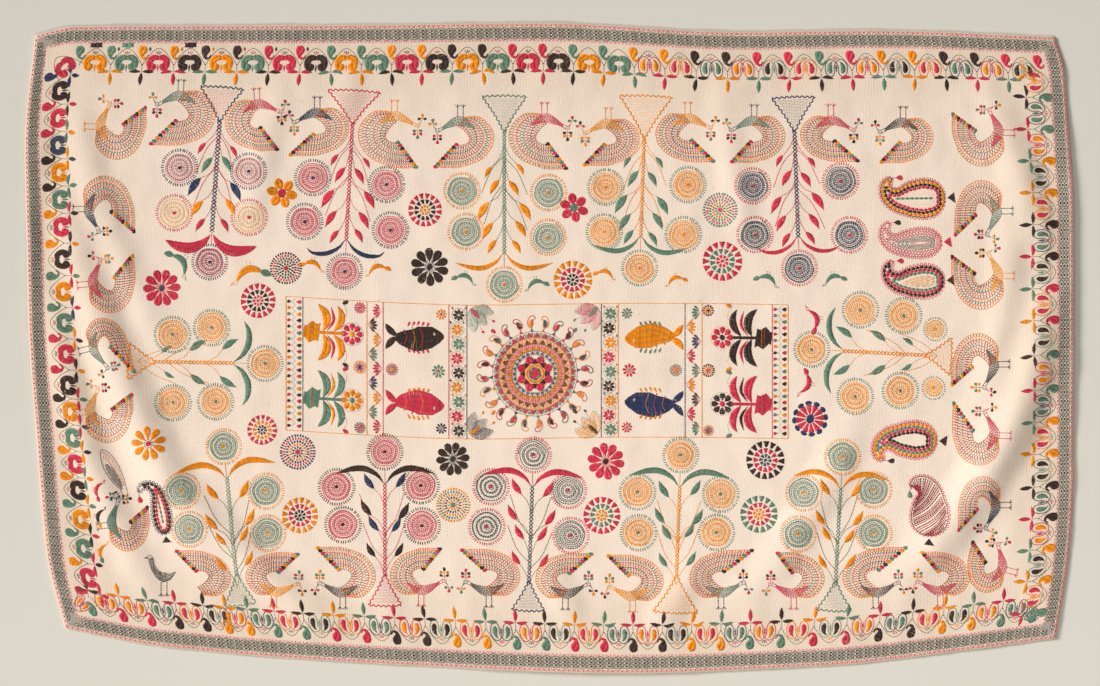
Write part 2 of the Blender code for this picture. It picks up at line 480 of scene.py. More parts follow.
WHEEL_PITCH, WHEEL_START, WHEEL_SHARE = 2.35, 3.4, 0.83   # the spiral: step, start, share of the radius
WHEEL_EYE, WHEEL_PLACES = 3.0, 30                         # places round one turn


def wheel(lay, r, body, rim, eye, accent=None, wide=0.0021):
    """A wheel flower: a spiral of running stitch, whose radius grows by one pitch a
    turn with two small waves, in an accent colour every third turn; a rim of ticks
    from there outwards and a filled eye."""
    reach = WHEEL_SHARE * r
    turns = (reach - WHEEL_START) / WHEEL_PITCH
    t = np.linspace(0, turns * 2 * np.pi, int(turns * WHEEL_PLACES))
    wobble = 1 + 0.03 * np.sin(3 * t / turns + rng.uniform(0, 6)) + 0.02 * np.sin(5 * t)
    out = (WHEEL_START + WHEEL_PITCH * t / (2 * np.pi)) * wobble
    path = np.stack([out * np.cos(t), out * np.sin(t)], 1)
    for k in range(int(turns) + 1):
        part = path[k * WHEEL_PLACES:(k + 1) * WHEEL_PLACES + 1]
        if len(part) > 3:
            run(accent if accent and k % 3 == 1 else body, part, lay, long=0.0036, gap=0.0005, wide=wide)
    fan_ticks(rim, reach + 1.2, r + 1.2, int(r * 1.5), lay, wide=0.0019)
    dot(eye, WHEEL_EYE, lay, gap=0.0012)


def sprig(lay, stem, one, two):
    """A small crest: a thin stem, a pair of drops of each colour and one at its tip."""
    run(stem, [(0, 0), (0, 11)], lay, wide=0.0014, gap=0.0003)
    for up, shade in ((3.0, one), (8.4, two)):
        for flip in (-1, 1):
            satin(shade, [(flip * 1.8, up), (flip * 7.8, up + 2.0)], 2.7, drop, lay, gap=0.0015, wide=0.0021)
    satin(one, [(0, 11), (0, 18)], 2.9, drop, lay, gap=0.0015, wide=0.0021)


TAIL_OUTER = [(61, 45.5), (39, 46.0), (20, 45.5), (6, 43.0), (-15, 36), (-28, 27), (-38, 13.5), (-41.7, -0.5),
              (-40.5, -12), (-34, -24), (-23, -34.5), (-12, -38), (8, -36.5)]
TAIL_INNER = [(17, 9.3), (11, 8.8), (3, 6.5), (-2.2, 0.5), (-0.5, -6), (5.5, -13.5), (13, -19.5), (19, -22)]
BACK = [(-12, -17), (2, -21.5), (18, -22.5), (28, -20.3), (39, -17.6), (46, -14), (50.5, -11)]
BELLY = [(-12, -18.5), (-2, -28), (4, -34.5), (11, -37.3), (20, -37.3), (28, -33.5), (37, -26), (45, -19.5),
         (51, -17)]
TAIL_PLACES, TAIL_REACH = 150, 61.0
EDGE_OF = {"pale_green": "slate", "pink": "crimson", "slate": "black", "peach": "ochre", "drab": "black",
           "green": "slate"}


def even(points, count):
    """The smooth line through the points as `count` evenly walked places."""
    fine = through(points)
    return spots(fine, np.linspace(0, walked(fine)[-1], count))


def peacock_tail(lay, rows, drops, tall=1.0, reach=60.0):
    """A peacock's tail: lines spaced evenly between an outer and an inner guide
    curve, both swinging from the body round the back and forward again; a ladder
    of ticks in every gap and a drop at the end of every line."""
    count = TAIL_PLACES
    outer, inner = even(TAIL_OUTER, count), even(TAIL_INNER, count)
    upright = np.full((count, 1), tall)
    outer = outer * np.hstack([np.where(outer[:, :1] > 0, reach / TAIL_REACH, tall), upright])
    inner = inner * np.hstack([np.where(inner[:, :1] > 0, min(1.0, reach / 50.0), tall), upright])
    bands = len(rows)
    for k in range(bands + 1):
        share = k / bands
        path = inner * (1 - share) + outer * share
        line, ladder = rows[min(k, bands - 1)]
        run(line, path, lay, long=0.0035, gap=0.0005, wide=0.0018)
        if k < bands:
            beyond = inner * (1 - share - 1 / bands) + outer * (share + 1 / bands)
            ticks = int(walked(lay((path + beyond) / 2))[-1] / 0.0045)
            at = np.clip((np.arange(ticks) + 0.5) / ticks * count, 0, count - 1).astype(int)
            near, far = path[at], beyond[at]
            stitch(ladder, lay, near * 0.82 + far * 0.18, near * 0.18 + far * 0.82, 0.0017)
        tip, shade = path[0], drops[k % len(drops)]
        satin(shade, [tip + (-1.8, 0.6), tip + (6.6, -2.0)], 3.5, drop, lay, gap=0.0014, wide=0.0020)


def peacock(lay, body, rows, drops, tall=1.0, reach=60.0, solid=False):
    """A peacock facing right: its tail, a body filled with rows of running stitch
    between its back and belly lines, a crest, a sprig in the beak and two legs."""
    peacock_tail(lay, rows, drops, tall, reach)
    back, belly, line = even(BACK, 40), even(BELLY, 40), EDGE_OF[body]
    set_down = shifted(lay, (0, (1 - tall) * 30.0))
    for k in range(8):
        share, edge = k / 7, k in (0, 7)
        row = back * (1 - share) + belly * share
        run(line if edge else body, row if edge else row[:36], set_down,
            long=0.0036, gap=0.0003 if solid or edge else 0.0006,
            wide=0.0015 if edge else 0.0030 if solid else 0.0021, shift=0.37 * k % 1)
    hoop(line, 3.4, 16, set_down, 53.2, -13.6, long=0.0026, gap=0.0002, wide=0.0014)
    run(line, [(56, -15.5), (58.5, -20.0), (55, -17.2)], set_down, long=0.0026, gap=0.0002, wide=0.0013)
    stitch("black", set_down, [(52.4, -13.2)], [(54.4, -13.2)], 0.0016)
    for leg in (8.5, 18.0):
        run(line, [(leg, -37), (leg, -55)], set_down, long=0.0040, gap=0.0002, wide=0.0016)
        toes = [(leg - 4.4, -58), (leg, -59.4), (leg + 4.2, -58)]
        stitch(line, set_down, [(leg, -54.5)] * 3, toes, 0.0015)
    sprig(shifted(set_down, (53.0, -9.0)), line, drops[0], drops[1])
    run(line, [(58, -19), (61, -27)], set_down, long=0.0030, gap=0.0003, wide=0.0013)
    hang = shifted(set_down, (61, -26), (1, -1))
    satin(drops[3], [(0, 1), (0, 8)], 2.8, drop, hang, gap=0.0015, wide=0.0020)
    for flip in (-1, 1):
        satin(drops[2], [(flip * 1.4, 0), (flip * 7.4, -1)], 2.5, drop, hang, gap=0.0015, wide=0.0020)


TOP_LEAVES = [(-36, 25, 21), (-10, 15, 28), (33, 33, 33), (66, 26, 30), (94, 19, 26)]
FOOT_LEAVES = [(-45, 22, 26), (0, 18, 27), (28, 30, 30), (78, 25, 29)]
SIDE_LEAVES = [(-10, 20, 20), (42, 27, 30), (98, 30, 30)]


CROWN_WHEEL, SIDE_WHEEL = 31.0, 31.5     # radii, mm
CROWN_DROP, UPPER_PAIR = 52.0, 40.0      # trunk's end below the crown; rise that makes a flower an upper one


def tree(lay, height, pairs, braid, body, rim, eye, leaves, horns, stem, accent=None,
         base=(30.0, 42.0), rows=TOP_LEAVES, horn=(76.0, 5.0, 0.0), rope=3.2, outer=None):
    """A tree of life growing up from a latticed triangle: a braided trunk, four
    wheel flowers and a crown wheel on thin stems, pairs of leaves set from the
    lowest flower's height, and two long curved horns below the crown.  The two
    upper flowers may have colours of their own, `outer`."""
    wide, tall = base
    top = height - CROWN_DROP
    slanted(braid, [(0, tall * 0.9), (0, top)], lay, half=rope, pitch=0.0064, lean=3.2, wide=0.0021,
            crossed=True)
    for path in ([(-wide, 0), (0, -1.5), (wide, 0)], [(-wide, 0), (-wide * 0.42, tall * 0.52), (0, tall)],
                 [(wide, 0), (wide * 0.42, tall * 0.52), (0, tall)]):
        slanted(braid, through(path), lay, half=2.0, lean=2.1, pitch=0.0044, wide=0.0024)
    for up in np.arange(4.0, tall - 8, 2.6):
        half = wide * (1 - up / tall) * (0.9 - 0.3 * up / tall * (1 - up / tall)) - 2.0
        if half > 2:
            run(body, [(-half, up), (half, up)], lay, long=0.0015, gap=0.0016, wide=0.0013,
                shift=rng.uniform(0, 0.5))
    flower = (body, rim, eye, accent)
    wheel(shifted(lay, (0, height)), CROWN_WHEEL, *flower)
    run(stem, [(0, top), (0, height - 30)], lay, long=0.0030, gap=0.0004, wide=0.0015)
    low = min(y for _x, y in pairs)
    for x, y in pairs:
        far = y > low + UPPER_PAIR
        wheel(shifted(lay, (x, y)), SIDE_WHEEL, *(outer if far and outer else flower),
              wide=0.0016 if outer else 0.0021)
        foot, end = (0.0, y - (84 if far else 60)), (x * 0.53, y + (-12 if far else 4))
        mid = (x * 0.30, (foot[1] + end[1]) / 2 - 8)
        run(stem, through([foot, mid, end]), lay, long=0.0036, gap=0.0004, wide=0.0016)
    for k, (rise, out, long) in enumerate(rows):
        for flip in (-1, 1):
            up = low + rise + rng.normal(0, 2.0)
            size = long * rng.uniform(1.08, 1.22)
            ray = np.array([flip * 0.54, 0.84])
            middle = np.array([flip * out * 1.08, up + 2.0])
            butt, tip = middle - ray * size / 2, middle + ray * size / 2
            satin(leaves[k % len(leaves)], [butt, middle + (flip * 1.6, -1.0), tip], size * 0.165, blade, lay)
            run(stem, through([(0, up - 42), (flip * out * 0.34, up - 22), butt]), lay,
                long=0.0034, gap=0.0004, wide=0.0014)
    reach, thick, lift = horn
    for flip in (-1, 1):
        satin(horns, [(flip * 2, top - 2 + lift), (flip * 14, top + 13 + lift), (flip * 34, top + 23 + lift),
                      (flip * 56, top + 23 + lift * 0.8), (flip * reach, top + 15 + lift * 0.7)],
              thick, lambda s: np.sin(np.pi * np.clip(s, 0, 1) ** 1.1) ** 0.75, lay)


def rosette(lay, style, r, one, two, three):
    """Round flowers, sized by their radius: six open petals, nine drops round a
    ring, a daisy of ten drops, a daisy with tipped petals, three rings of small
    wedges round an eye, or a disc of broken rings."""
    if style == "open":
        petals(one, 0.28 * r, r, 0.30 * r, 6, lay, start=20, shape=disc)
        dot(two, 0.28 * r, lay)
    elif style == "nine":
        petals(one, 0.26 * r, 1.04 * r, 0.21 * r, 9, lay, start=10)
        hoop("slate", 0.25 * r, 20, lay, wide=0.0013)
        dot(two, 0.17 * r, lay)
    elif style == "daisy":
        petals(one, 0.27 * r, 1.02 * r, 0.225 * r, 10, lay)
        fan_ticks(three, 0.14 * r, 0.40 * r, 18, lay, wide=0.0016)
        dot(two, 0.16 * r, lay)
    elif style == "tipped":
        petals(two, 0.27 * r, 0.80 * r, 0.185 * r, 12, lay, shape=lambda s: 0.25 + 0.75 * s)
        petals(one, 0.80 * r, 1.06 * r, 0.20 * r, 12, lay, shape=disc)
        dot(one, 0.25 * r, lay)
    elif style == "wedge":
        rows = ((0.70, 1.02, one, 16), (0.38, 0.64, two, 12), (0.14, 0.32, three, 8))
        for k, (r0, r1, shade, count) in enumerate(rows):
            base = math.pi * r1 * r / count * 0.84
            petals(shade, r0 * r, r1 * r, base, count, lay, 9 * k, lambda s: 0.34 + 0.66 * s)
        dot(three, 0.09 * r, lay)
    else:
        shades = (one, two, one, three, one, two)
        count = 6 if r > 20 else 4
        for k in range(count):
            reach, step = r * (1 - k / count), r / count
            if reach > 4:
                ticks = max(7, int(2 * math.pi * (reach - step / 2) / 4.6))
                fan_ticks(shades[k], reach - step * 0.90, reach - step * 0.04, ticks, lay, start=k * 8.0,
                          wide=0.0031)
        dot(two, 2.2, lay, gap=0.0012)


KALKA_SPINE = [(0, 3), (1, 25), (2, 45), (3, 65), (3, 85), (-6, 101), (-22, 106), (-34, 97)]
KALKA_GIRTH = [(0, 6), (0.03, 15), (0.08, 24), (0.15, 30), (0.28, 33), (0.45, 29), (0.60, 20.5), (0.75, 13),
               (0.88, 7), (1, 2)]


KALKA_PLACES, KALKA_RING = 90, 4.8     # places along the spine; step from one chain to the next


def kalka(lay, fringe, rings, heart, foot, tip, size=1.0, slim=1.0):
    """A large paisley standing on a small wedge, a drop hanging from its curled
    end: the curved spine with the girth table's half width either side, inset by
    steps.  Round it runs a zigzag fringe; inside lie chains of lozenges about a
    heart, rows of slanting stitch, or slanting stripes from edge to edge."""
    share = np.linspace(0, 1, KALKA_PLACES)
    spine = through(KALKA_SPINE)
    length = walked(spine)[-1]
    mid = spots(spine, share * length)
    ahead = np.gradient(mid, axis=0)
    ahead /= np.hypot(ahead[:, :1], ahead[:, 1:])
    side = np.stack([-ahead[:, 1], ahead[:, 0]], 1)
    at, wide = np.array(KALKA_GIRTH).T
    girth = np.interp(share, at, wide) * slim

    def ring(inset):
        # the outline's two sides, inset from the girth, walked up and back down
        keep = (girth > inset + 0.6) & (share * length > inset * 0.9)
        half = (girth - inset)[keep][:, None]
        left, right = mid[keep] + side[keep] * half, mid[keep] - side[keep] * half
        return np.vstack([left, right[::-1], left[:1]]) * size
    slanted(fringe[0], ring(-3.4), lay, half=2.5, pitch=0.0033, lean=0.8, wide=0.0017)
    run(fringe[1], ring(-0.8), lay, long=0.0034, gap=0.0003, wide=0.0018)
    for k, shade in enumerate(rings):
        if heart == "rows":
            slanted(shade, ring(3.0 + 5.2 * k), lay, half=2.3, pitch=0.0027, lean=1.2, wide=0.0017)
        elif heart != "stripes":
            beads(shade, ring(2.4 + KALKA_RING * k), lay, long=7.4, half=2.3, shift=0.5 * (k % 2))
    heart_edge = KALKA_RING * len(rings)
    if heart == "stem":
        beads("green", [p * size for p in (mid[14], mid[58])], lay, long=8.0, half=1.8)
        for path in (ring(heart_edge + 2.0 + 4.0 * k) for k in range(3)):
            if len(path) > 9:
                run("peach", path, lay, long=0.0014, gap=0.0018, wide=0.0012)
    elif heart == "rows":
        for k, path in enumerate(ring(heart_edge + 2.6 + 2.3 * k) for k in range(6)):
            if len(path) > 9:
                run("drab" if k < 4 else "pink", path, lay, long=0.0036, gap=0.0004, wide=0.0017)
    elif heart == "hatch":
        fill("peach", ring(heart_edge + 3.0), lay, gap=2.4, wide=0.0014, turn=102, smooth=False)
    elif heart == "stripes":
        starts = np.concatenate([np.arange(-24, 0, 5.0), np.arange(0, 58, 2.2), np.arange(60, 84, 6.0)])
        for k, start in enumerate(starts):
            # from a place on the left edge to the right edge 31 places further along
            i, j = max(1, int(start)), min(KALKA_PLACES - 3, int(start) + 31)
            a, b = mid[i] + side[i] * (girth[i] - 1.5), mid[j] - side[j] * (girth[j] - 1.5)
            bend = (a + b) / 2 + (3.4, -4.6)
            run(rings[k % 2], through([a * size, bend * size, b * size]), lay, long=0.0040, gap=0.0002,
                wide=0.0022)
    satin(foot, [(0, -15 * size), (0, -2.0)], 9.5 * size, lambda t: 1.04 - t, lay)
    end = mid[-1] * size
    run(fringe[1], [end, end + (-1, -9)], lay, gap=0.0003, wide=0.0013)
    satin(tip, [end + (-1, -8), end + (-1, -20)], 4.6, drop, lay)


def small_bird(lay, colour, tail, size=1.0):
    """A little bird looking up to the right: a rounded tail leaf, a curved body, a
    ringed head with a beak and two thin legs."""
    p = lambda points: [np.array(q, float) * size for q in points]
    satin(tail, p([(-34, 6), (-26, 1), (-17, -2)]), 5.6 * size, leaf, lay)
    satin(colour, p([(-19, -1), (-8, -5), (3, -4), (12, 3), (18, 13)]), 5.8 * size,
          lambda s: 0.30 + 0.70 * np.sin(np.pi * s ** 0.8), lay)
    hoop(colour, 3.2 * size, 14, lay, 20.5 * size, 16.5 * size, long=0.0026, gap=0.0003, wide=0.0012)
    run(colour, p([(23, 18), (29, 21), (23.5, 15.5)]), lay, long=0.0026, gap=0.0003, wide=0.0012)
    for leg in (-2, 4):
        run(colour, p([(leg, -9), (leg, -18)]), lay, long=0.0030, gap=0.0003, wide=0.0012)


def folded_bird(lay):
    """A bird with its tail folded into one long lens, rows of ticks over its back
    and a drab breast, drinking from a sprig."""
    outline = [(-46, 4), (-30, 12), (-8, 12.5), (14, 8), (32, 2), (45, -3), (50, -8), (45, -12), (38, -10),
               (30, -8), (12, -11), (-12, -11), (-32, -6)]
    run("slate", np.vstack([closed(outline), closed(outline)[:1]]), lay, long=0.0034, gap=0.0003, wide=0.0015)
    for k, shade in enumerate(("pink", "peach", "pink")):
        run(shade, through([(-42 + 4 * k, 3 - k * 2), (-26, 9 - 3.4 * k), (-6, 9.5 - 3.6 * k),
                            (14, 5 - 2.4 * k), (28, 1 - k)]),
            lay, long=0.0020, gap=0.0014, wide=0.0020)
    fill("drab", [(-16, 0), (-4, 2.4), (12, 1.4), (28, -2.6), (30, -6), (14, -9), (-8, -9), (-22, -5)], lay,
         gap=2.1, wide=0.0017, turn=8)
    stitch("black", lay, [(45.4, -7.4)], [(47.4, -7.8)], 0.0015)
    run("slate", [(46, -12), (40, -17), (36, -15)], lay, long=0.0030, gap=0.0003, wide=0.0013)
    sprig(shifted(lay, (33, -12), (-0.8, -1)), "pink", "navy", "green")


def standing_bird(lay):
    """A drab bird with an upright neck, standing in profile to the left."""
    fill("drab", [(-12, 24), (-19.6, 24), (-17.4, 14), (-15, 4.4), (-6.5, -9.8), (4.4, -17.4), (17, -13),
                  (26, 0), (15, -2), (4.4, 0), (-4.4, 4.4), (-9.8, 13)], lay,
         gap=1.9, wide=0.0018, turn=-24)
    run("black", np.array([(-19.6, 20), (-15, 4.4), (-6.5, -9.8), (4.4, -17.4), (17, -13), (26, 0)]), lay,
        long=0.0034, gap=0.0002, wide=0.0015)
    hoop("black", 4.2, 16, lay, -18, 25, long=0.0026, gap=0.0002, wide=0.0014)
    run("black", [(-22, 26), (-28, 24.5), (-22, 23.5)], lay, long=0.0026, gap=0.0002, wide=0.0013)
    for leg in (1, 11):
        run("black", [(leg, -17), (leg, -38)], lay, long=0.0040, gap=0.0002, wide=0.0016)
        toes = [(leg - 4.4, -41.5), (leg, -42.6), (leg + 4.2, -41.5)]
        stitch("black", lay, [(leg, -38)] * 3, toes, 0.0015)


# ---------------------------------------------------- the border's measures, mm
LENS_PITCH = 15.8
# along the left side (mm), and the band's share there of its full width
LEFT_BAND = ([-530, -100, 450, 530], [1.0, 1.0, 0.76, 0.76])
SIDE_BAND = {"right": 0.95}           # the same share where it holds for a whole side


def band_share(side, along):
    """Share of the full band's width at a place along a side, in millimetres."""
    return np.interp(along, *LEFT_BAND) if side == "left" else np.full_like(along, SIDE_BAND.get(side, 1.0))


SHADES = {"o": "ochre", "g": "green", "c": "crimson", "b": "black", "s": "slate"}
VINES = {
    # side: (pair number and metres along x or y at a few pairs; colours in order of pairs,
    #        sprigs, sprigs' middle leaves and buds; how many pairs are solid; how far it is
    #        drawn towards the hem (places in metres, mm); the bud's flip)
    "far": ([(0, -0.7766), (7, -0.4016), (18, 0.1637), (30, 0.7981)],
            "ogcbogcbogcbogcbogocgobcgobcgob", "obcgobcgobcgobcbogcbogcbcgobcg",
            "obcgobcgobcgobcbogcbogcbcgobcg", "goobbccggoobbccggoobbccgcoobbc", 18, ([0], [0]), 1),
    "near": ([(0, -0.747), (1, -0.698), (3, -0.6035), (4, -0.557), (5, -0.529), (7, -0.4368), (14, -0.0783),
              (23, 0.3672), (28, 0.6441), (31, 0.7938)],
             "oogcbogcbcgobcgobcgobcgocbogcbog", "ogcbogcbogcbogcbogcbogcbogcbogc",
             "ogcbogcbogcbogcbogcbogcbogcbogc", "ccbboogg" * 4, 0, ([0], [0]), -1),
    "left": ([(0, 0.4334), (5, 0.2047), (7, 0.0963), (10, -0.0602), (14, -0.2356), (17, -0.3818)],
             "bcsogcbogcbogcbogc", "bgogcbcsobccogobc", "cosgbogcbogsbogcb", "ccbbooggccbbooggo", 18,
             ([-0.44, 0.0, 0.44], [-4.0, 1.5, 9.0]), 1),
    "right": ([(0, 0.4592), (4, 0.2425), (8, 0.0249), (9, -0.0378), (13, -0.2580), (16, -0.4180)],
              "cgobcgbcbogcbgobc", "bcgo" * 4, "bcgo" * 4, "ggoobbccggoobboo", 0, ([0], [8.5]), -1),
}
EXTRAS = [
    # side, metres along, kind, colour: what stands between a side's last pair and the corner
    ("far", -0.803, "bud", "green"), ("far", 0.826, "bud", "crimson"),
    ("near", -0.775, "bud", "green"), ("near", -0.775, "sprig", "black"),
    ("near", 0.822, "bud", "green"), ("left", 0.461, "bud", "navy"), ("left", 0.459, "sprig", "navy"),
    ("left", -0.406, "bud", "crimson"), ("left", -0.408, "sprig", "crimson"),
    ("right", -0.448, "bud", "green"), ("right", -0.446, "sprig", "crimson"),
]
FAR_UNTUFTED, FAR_BARRED = (16, 17), (0, 1, 3)      # pairs of the far side
FAR_FLECKS = "ssoocbb"                              # after each of its first pairs
TUFT_SOLID = {"ochre": "black", "green": "crimson", "crimson": "black", "black": "crimson",
              "slate": "crimson"}
TUFT_OPEN = {"ochre": "black", "crimson": "green", "green": "crimson", "black": "ochre"}
BAR = [(-11, 29.5), (11, 29.5), (9.5, 33.5), (11, 37.5), (-11, 37.5), (-9.5, 33.5)]
LOBE = [(0, 52), (5, 49.8), (11, 50.2), (16.5, 54), (20, 60), (20.4, 66.5), (18, 73), (13.5, 77), (8.5, 77.6),
        (4.4, 75), (2.6, 70.5), (3.6, 66.2), (7.2, 65.0), (8.4, 62.4), (5.4, 59.4), (0, 58.6)]
BUD = [(-1, 34.3), (-6, 36), (-8, 41), (-7.5, 47), (-5, 53), (-1, 57.5), (4, 58), (8, 55.5), (9.5, 51),
       (7.6, 50.5), (5.5, 53.5), (2.5, 54.5), (1.5, 52), (4, 48.5), (7, 45), (7, 39.5), (3.5, 35)]


# ------------------------------------------------------------------ the border
HEM_ROW, BAND_START, BAND_END = 4.4, 7.6, 26.6
OUTLINE_OF = {"ochre": "crimson", "green": "slate", "crimson": "ochre", "black": "pale_green"}


def pattern_band(side):
    """The hem's patterned band: three staggered rows of small dark lenses, each in
    a pale diamond within a drab one, between rows of red."""
    lay = beside(side)
    half = 500.0 * (SIDE_WIDE if side in ("left", "right") else SIDE_LONG)
    for k in range(3):
        depth = BAND_START + (BAND_END - BAND_START) * (0.20 + 0.30 * k)
        count = int(2 * (half - depth) / LENS_PITCH - 0.5)
        x = (np.arange(count) - (count - 1) / 2 + (0.5 if k == 1 else 0)) * LENS_PITCH
        share = band_share(side, x)
        c = np.stack([x, depth * share + rng.normal(0, 0.3, count)], 1)
        stitch("black", lay, c - (2.2, 0), c + (2.2, 0), 0.0026)
        for w, h, colour, thick in ((4.6, 2.5, "cream", 0.0009), (7.6, 4.6, "drab", 0.0015)):
            for right in (-1, 1):
                for up in (-1, 1):
                    end = c + np.stack([np.full(count, right * 0.4), up * h * share], 1)
                    stitch(colour, lay, c + (right * w, up * 0.2), end, thick)
    for depth, colour, long, gap, wide in (
            (HEM_ROW, "crimson", 0.0034, 0.0050, 0.0019),
            (HEM_ROW - 1.6, "pink", 0.0020, 0.0022, 0.0010),
            (HEM_ROW + 1.7, "pink", 0.0022, 0.0018, 0.0011),
            (BAND_START - 0.6, "cream", 0.0040, 0.0006, 0.0016),
            (BAND_END + 1.2, "pink", 0.0024, 0.0018, 0.0012),
            (BAND_END + 2.9, "crimson", 0.0030, 0.0036, 0.0015)):
        x = np.linspace(-1, 1, 60) * (half - depth)
        run(colour, np.stack([x, depth * band_share(side, x)], 1), lay, long=long, gap=gap, wide=wide)


def tuft(lay, colour):
    """Three narrow drops fanning out from one place under an arch."""
    for lean in (-4.4, 0.0, 4.4):
        satin(colour, [(lean * 0.15, 49.5), (lean, 43.0 + abs(lean) * 0.35)], 1.1, drop, lay, gap=0.0013,
              wide=0.0013)


def solid_pair(lay, colour):
    """Two full curled leaves meeting at the top, with a drop hanging between."""
    for flip in (-1, 1):
        fill(colour, LOBE, shifted(lay, scale=(flip, 1)), turn=-24)
    satin(colour, [(0, 66), (0, 79)], 2.0, blade, lay, wide=0.0016)


def outlined_pair(lay, colour, outline):
    """Two drops leaning apart, each filled, with a loop standing clear round it and
    a small leaf between them."""
    for flip in (-1, 1):
        turned = shifted(lay, scale=(flip, 1))
        satin(colour, [(6.0, 51.5), (10.2, 57.0), (11.6, 64.0), (10.6, 72.0)], 4.6, drop, turned)
        run(outline, through([(0.4, 53.6), (6.0, 48.6), (13.0, 50.0), (18.0, 57.0), (19.0, 66.0),
                              (16.5, 74.0), (11.0, 77.4), (6.0, 75.6), (3.4, 69.0), (3.8, 61.0),
                              (0.4, 53.6)]), turned, long=0.0032, gap=0.0002, wide=0.0020)
    satin(outline, [(0, 57), (0, 71)], 2.3, blade, lay, wide=0.0015)


def bud_and_sprig(lay, bud, arms, middle, flip, long=21.5):
    """In each dip of the vine: a hooked bud towards the hem, and a stem with two
    side leaves and a middle leaf pointing into the field."""
    if bud:
        fill(bud, BUD, shifted(lay, scale=(flip, 1)), turn=30)
    if arms:
        run("olive", [(0, 66), (0, 79)], lay, gap=0.0003, wide=0.0013)
        wag = rng.normal(0, 1.2)
        for way in (-1, 1):
            satin(arms, [(way * 1.5, 79.0), (way * 11, 78.2 - way * wag * 0.4), (way * 21.5, 80.0 + wag)],
                  3.2, leaf, lay)
        satin(middle, [(0, 80.5), (wag, 80.5 + long / 2), (wag * 1.4, 80.5 + long)], 3.8, leaf, lay)


def from_middle(side, at):
    """Metres from a side's middle, for a place `at` metres along x or y: its share
    of the way between the side's two corners."""
    first, last, axis = {"far": ("far_left", "far_right", 0), "near": ("near_left", "near_right", 0),
                         "left": ("near_left", "far_left", 1), "right": ("near_right", "far_right", 1)}[side]
    low, high = CORNERS[first][axis], CORNERS[last][axis]
    return ((at - low) / (high - low) - 0.5) * (SIDE_LONG, SIDE_WIDE)[axis]


def vine_side(side):
    """One side of the flowering vine: arches of thin stem, highest midway between
    two dips, with a pair of curled leaves and a tuft under each, and a bud and a
    sprig in each dip.  The far side also has a few bars and flecks."""
    knots, pairs, sprigs, middles, buds, solid, draws, flip = VINES[side]
    number, at = np.array(knots).T
    stand = from_middle(side, np.interp(np.arange(len(pairs)), number, at))
    dips = np.concatenate([[1.5 * stand[0] - 0.5 * stand[1]], (stand[1:] + stand[:-1]) / 2,
                           [1.5 * stand[-1] - 0.5 * stand[-2]]])

    def drawn(centre, squeeze=1.0):
        # from a place along the side, drawn towards the hem by the table's amount
        return shifted(beside(side, centre), (0, -np.interp(centre, *draws)), (squeeze, 1))
    narrow, long = (0.84, 13.5) if side == "left" else (1.0, 21.5)
    for k, letter in enumerate(pairs):
        lay = drawn(stand[k])
        reach = 1000 * (dips[k:k + 2] - stand[k])
        arch = [(abs(u) * reach[int(u > 0)], 39.0 + 29.0 * abs(u) ** 1.7) for u in np.linspace(-1, 1, 17)]
        run("olive", arch, lay, long=0.0036, gap=0.0003, wide=0.0015)
        colour = SHADES[letter]
        if k < solid:
            solid_pair(drawn(stand[k], narrow), colour)
        else:
            outlined_pair(lay, colour, OUTLINE_OF[colour])
        if side != "far" or k not in FAR_UNTUFTED:
            tuft(lay, (TUFT_SOLID if k < solid else TUFT_OPEN)[colour])
        if k < len(pairs) - 1:
            bud_and_sprig(drawn(dips[k + 1]), SHADES[buds[k]], SHADES[sprigs[k]], SHADES[middles[k]], flip,
                          long)
        if side == "far" and k in FAR_BARRED:
            fill(colour if k else "black", BAR, lay, turn=4, smooth=False)
        if side == "far" and k < len(FAR_FLECKS):
            fleck = 1000 * (dips[k + 1] - stand[k]) + 12
            satin(SHADES[FAR_FLECKS[k]], [(fleck, 37), (fleck, 44)], 2.2, leaf, lay)
    for where, metres, kind, colour in EXTRAS:
        if where == side:
            bud_and_sprig(drawn(from_middle(side, metres)), colour if kind == "bud" else None,
                          colour if kind == "sprig" else None, colour, flip, long)


def vine_corner(x, y, turn, kind, colour, size=1.0):
    """The vine's turn at a corner, on the diagonal: a rounded loop of stem over a
    pair of curled leaves, or a three-leaf sprig alone."""
    lay = place(x, y, turn, 1, size)
    up = shifted(lay, (0, 66), (1, -1))
    if kind == "sprig":
        bud_and_sprig(shifted(up, (0, -24)), None, colour, colour, 1)
        return
    run("olive", through([(-29, 86), (-25, 72), (-18, 56), (-9, 45), (0, 41), (9, 45), (18, 56), (25, 72),
                          (29, 86)]), up, long=0.0036, gap=0.0003, wide=0.0015)
    if kind == "solid":
        solid_pair(up, colour)
    else:
        outlined_pair(up, colour, OUTLINE_OF[colour])


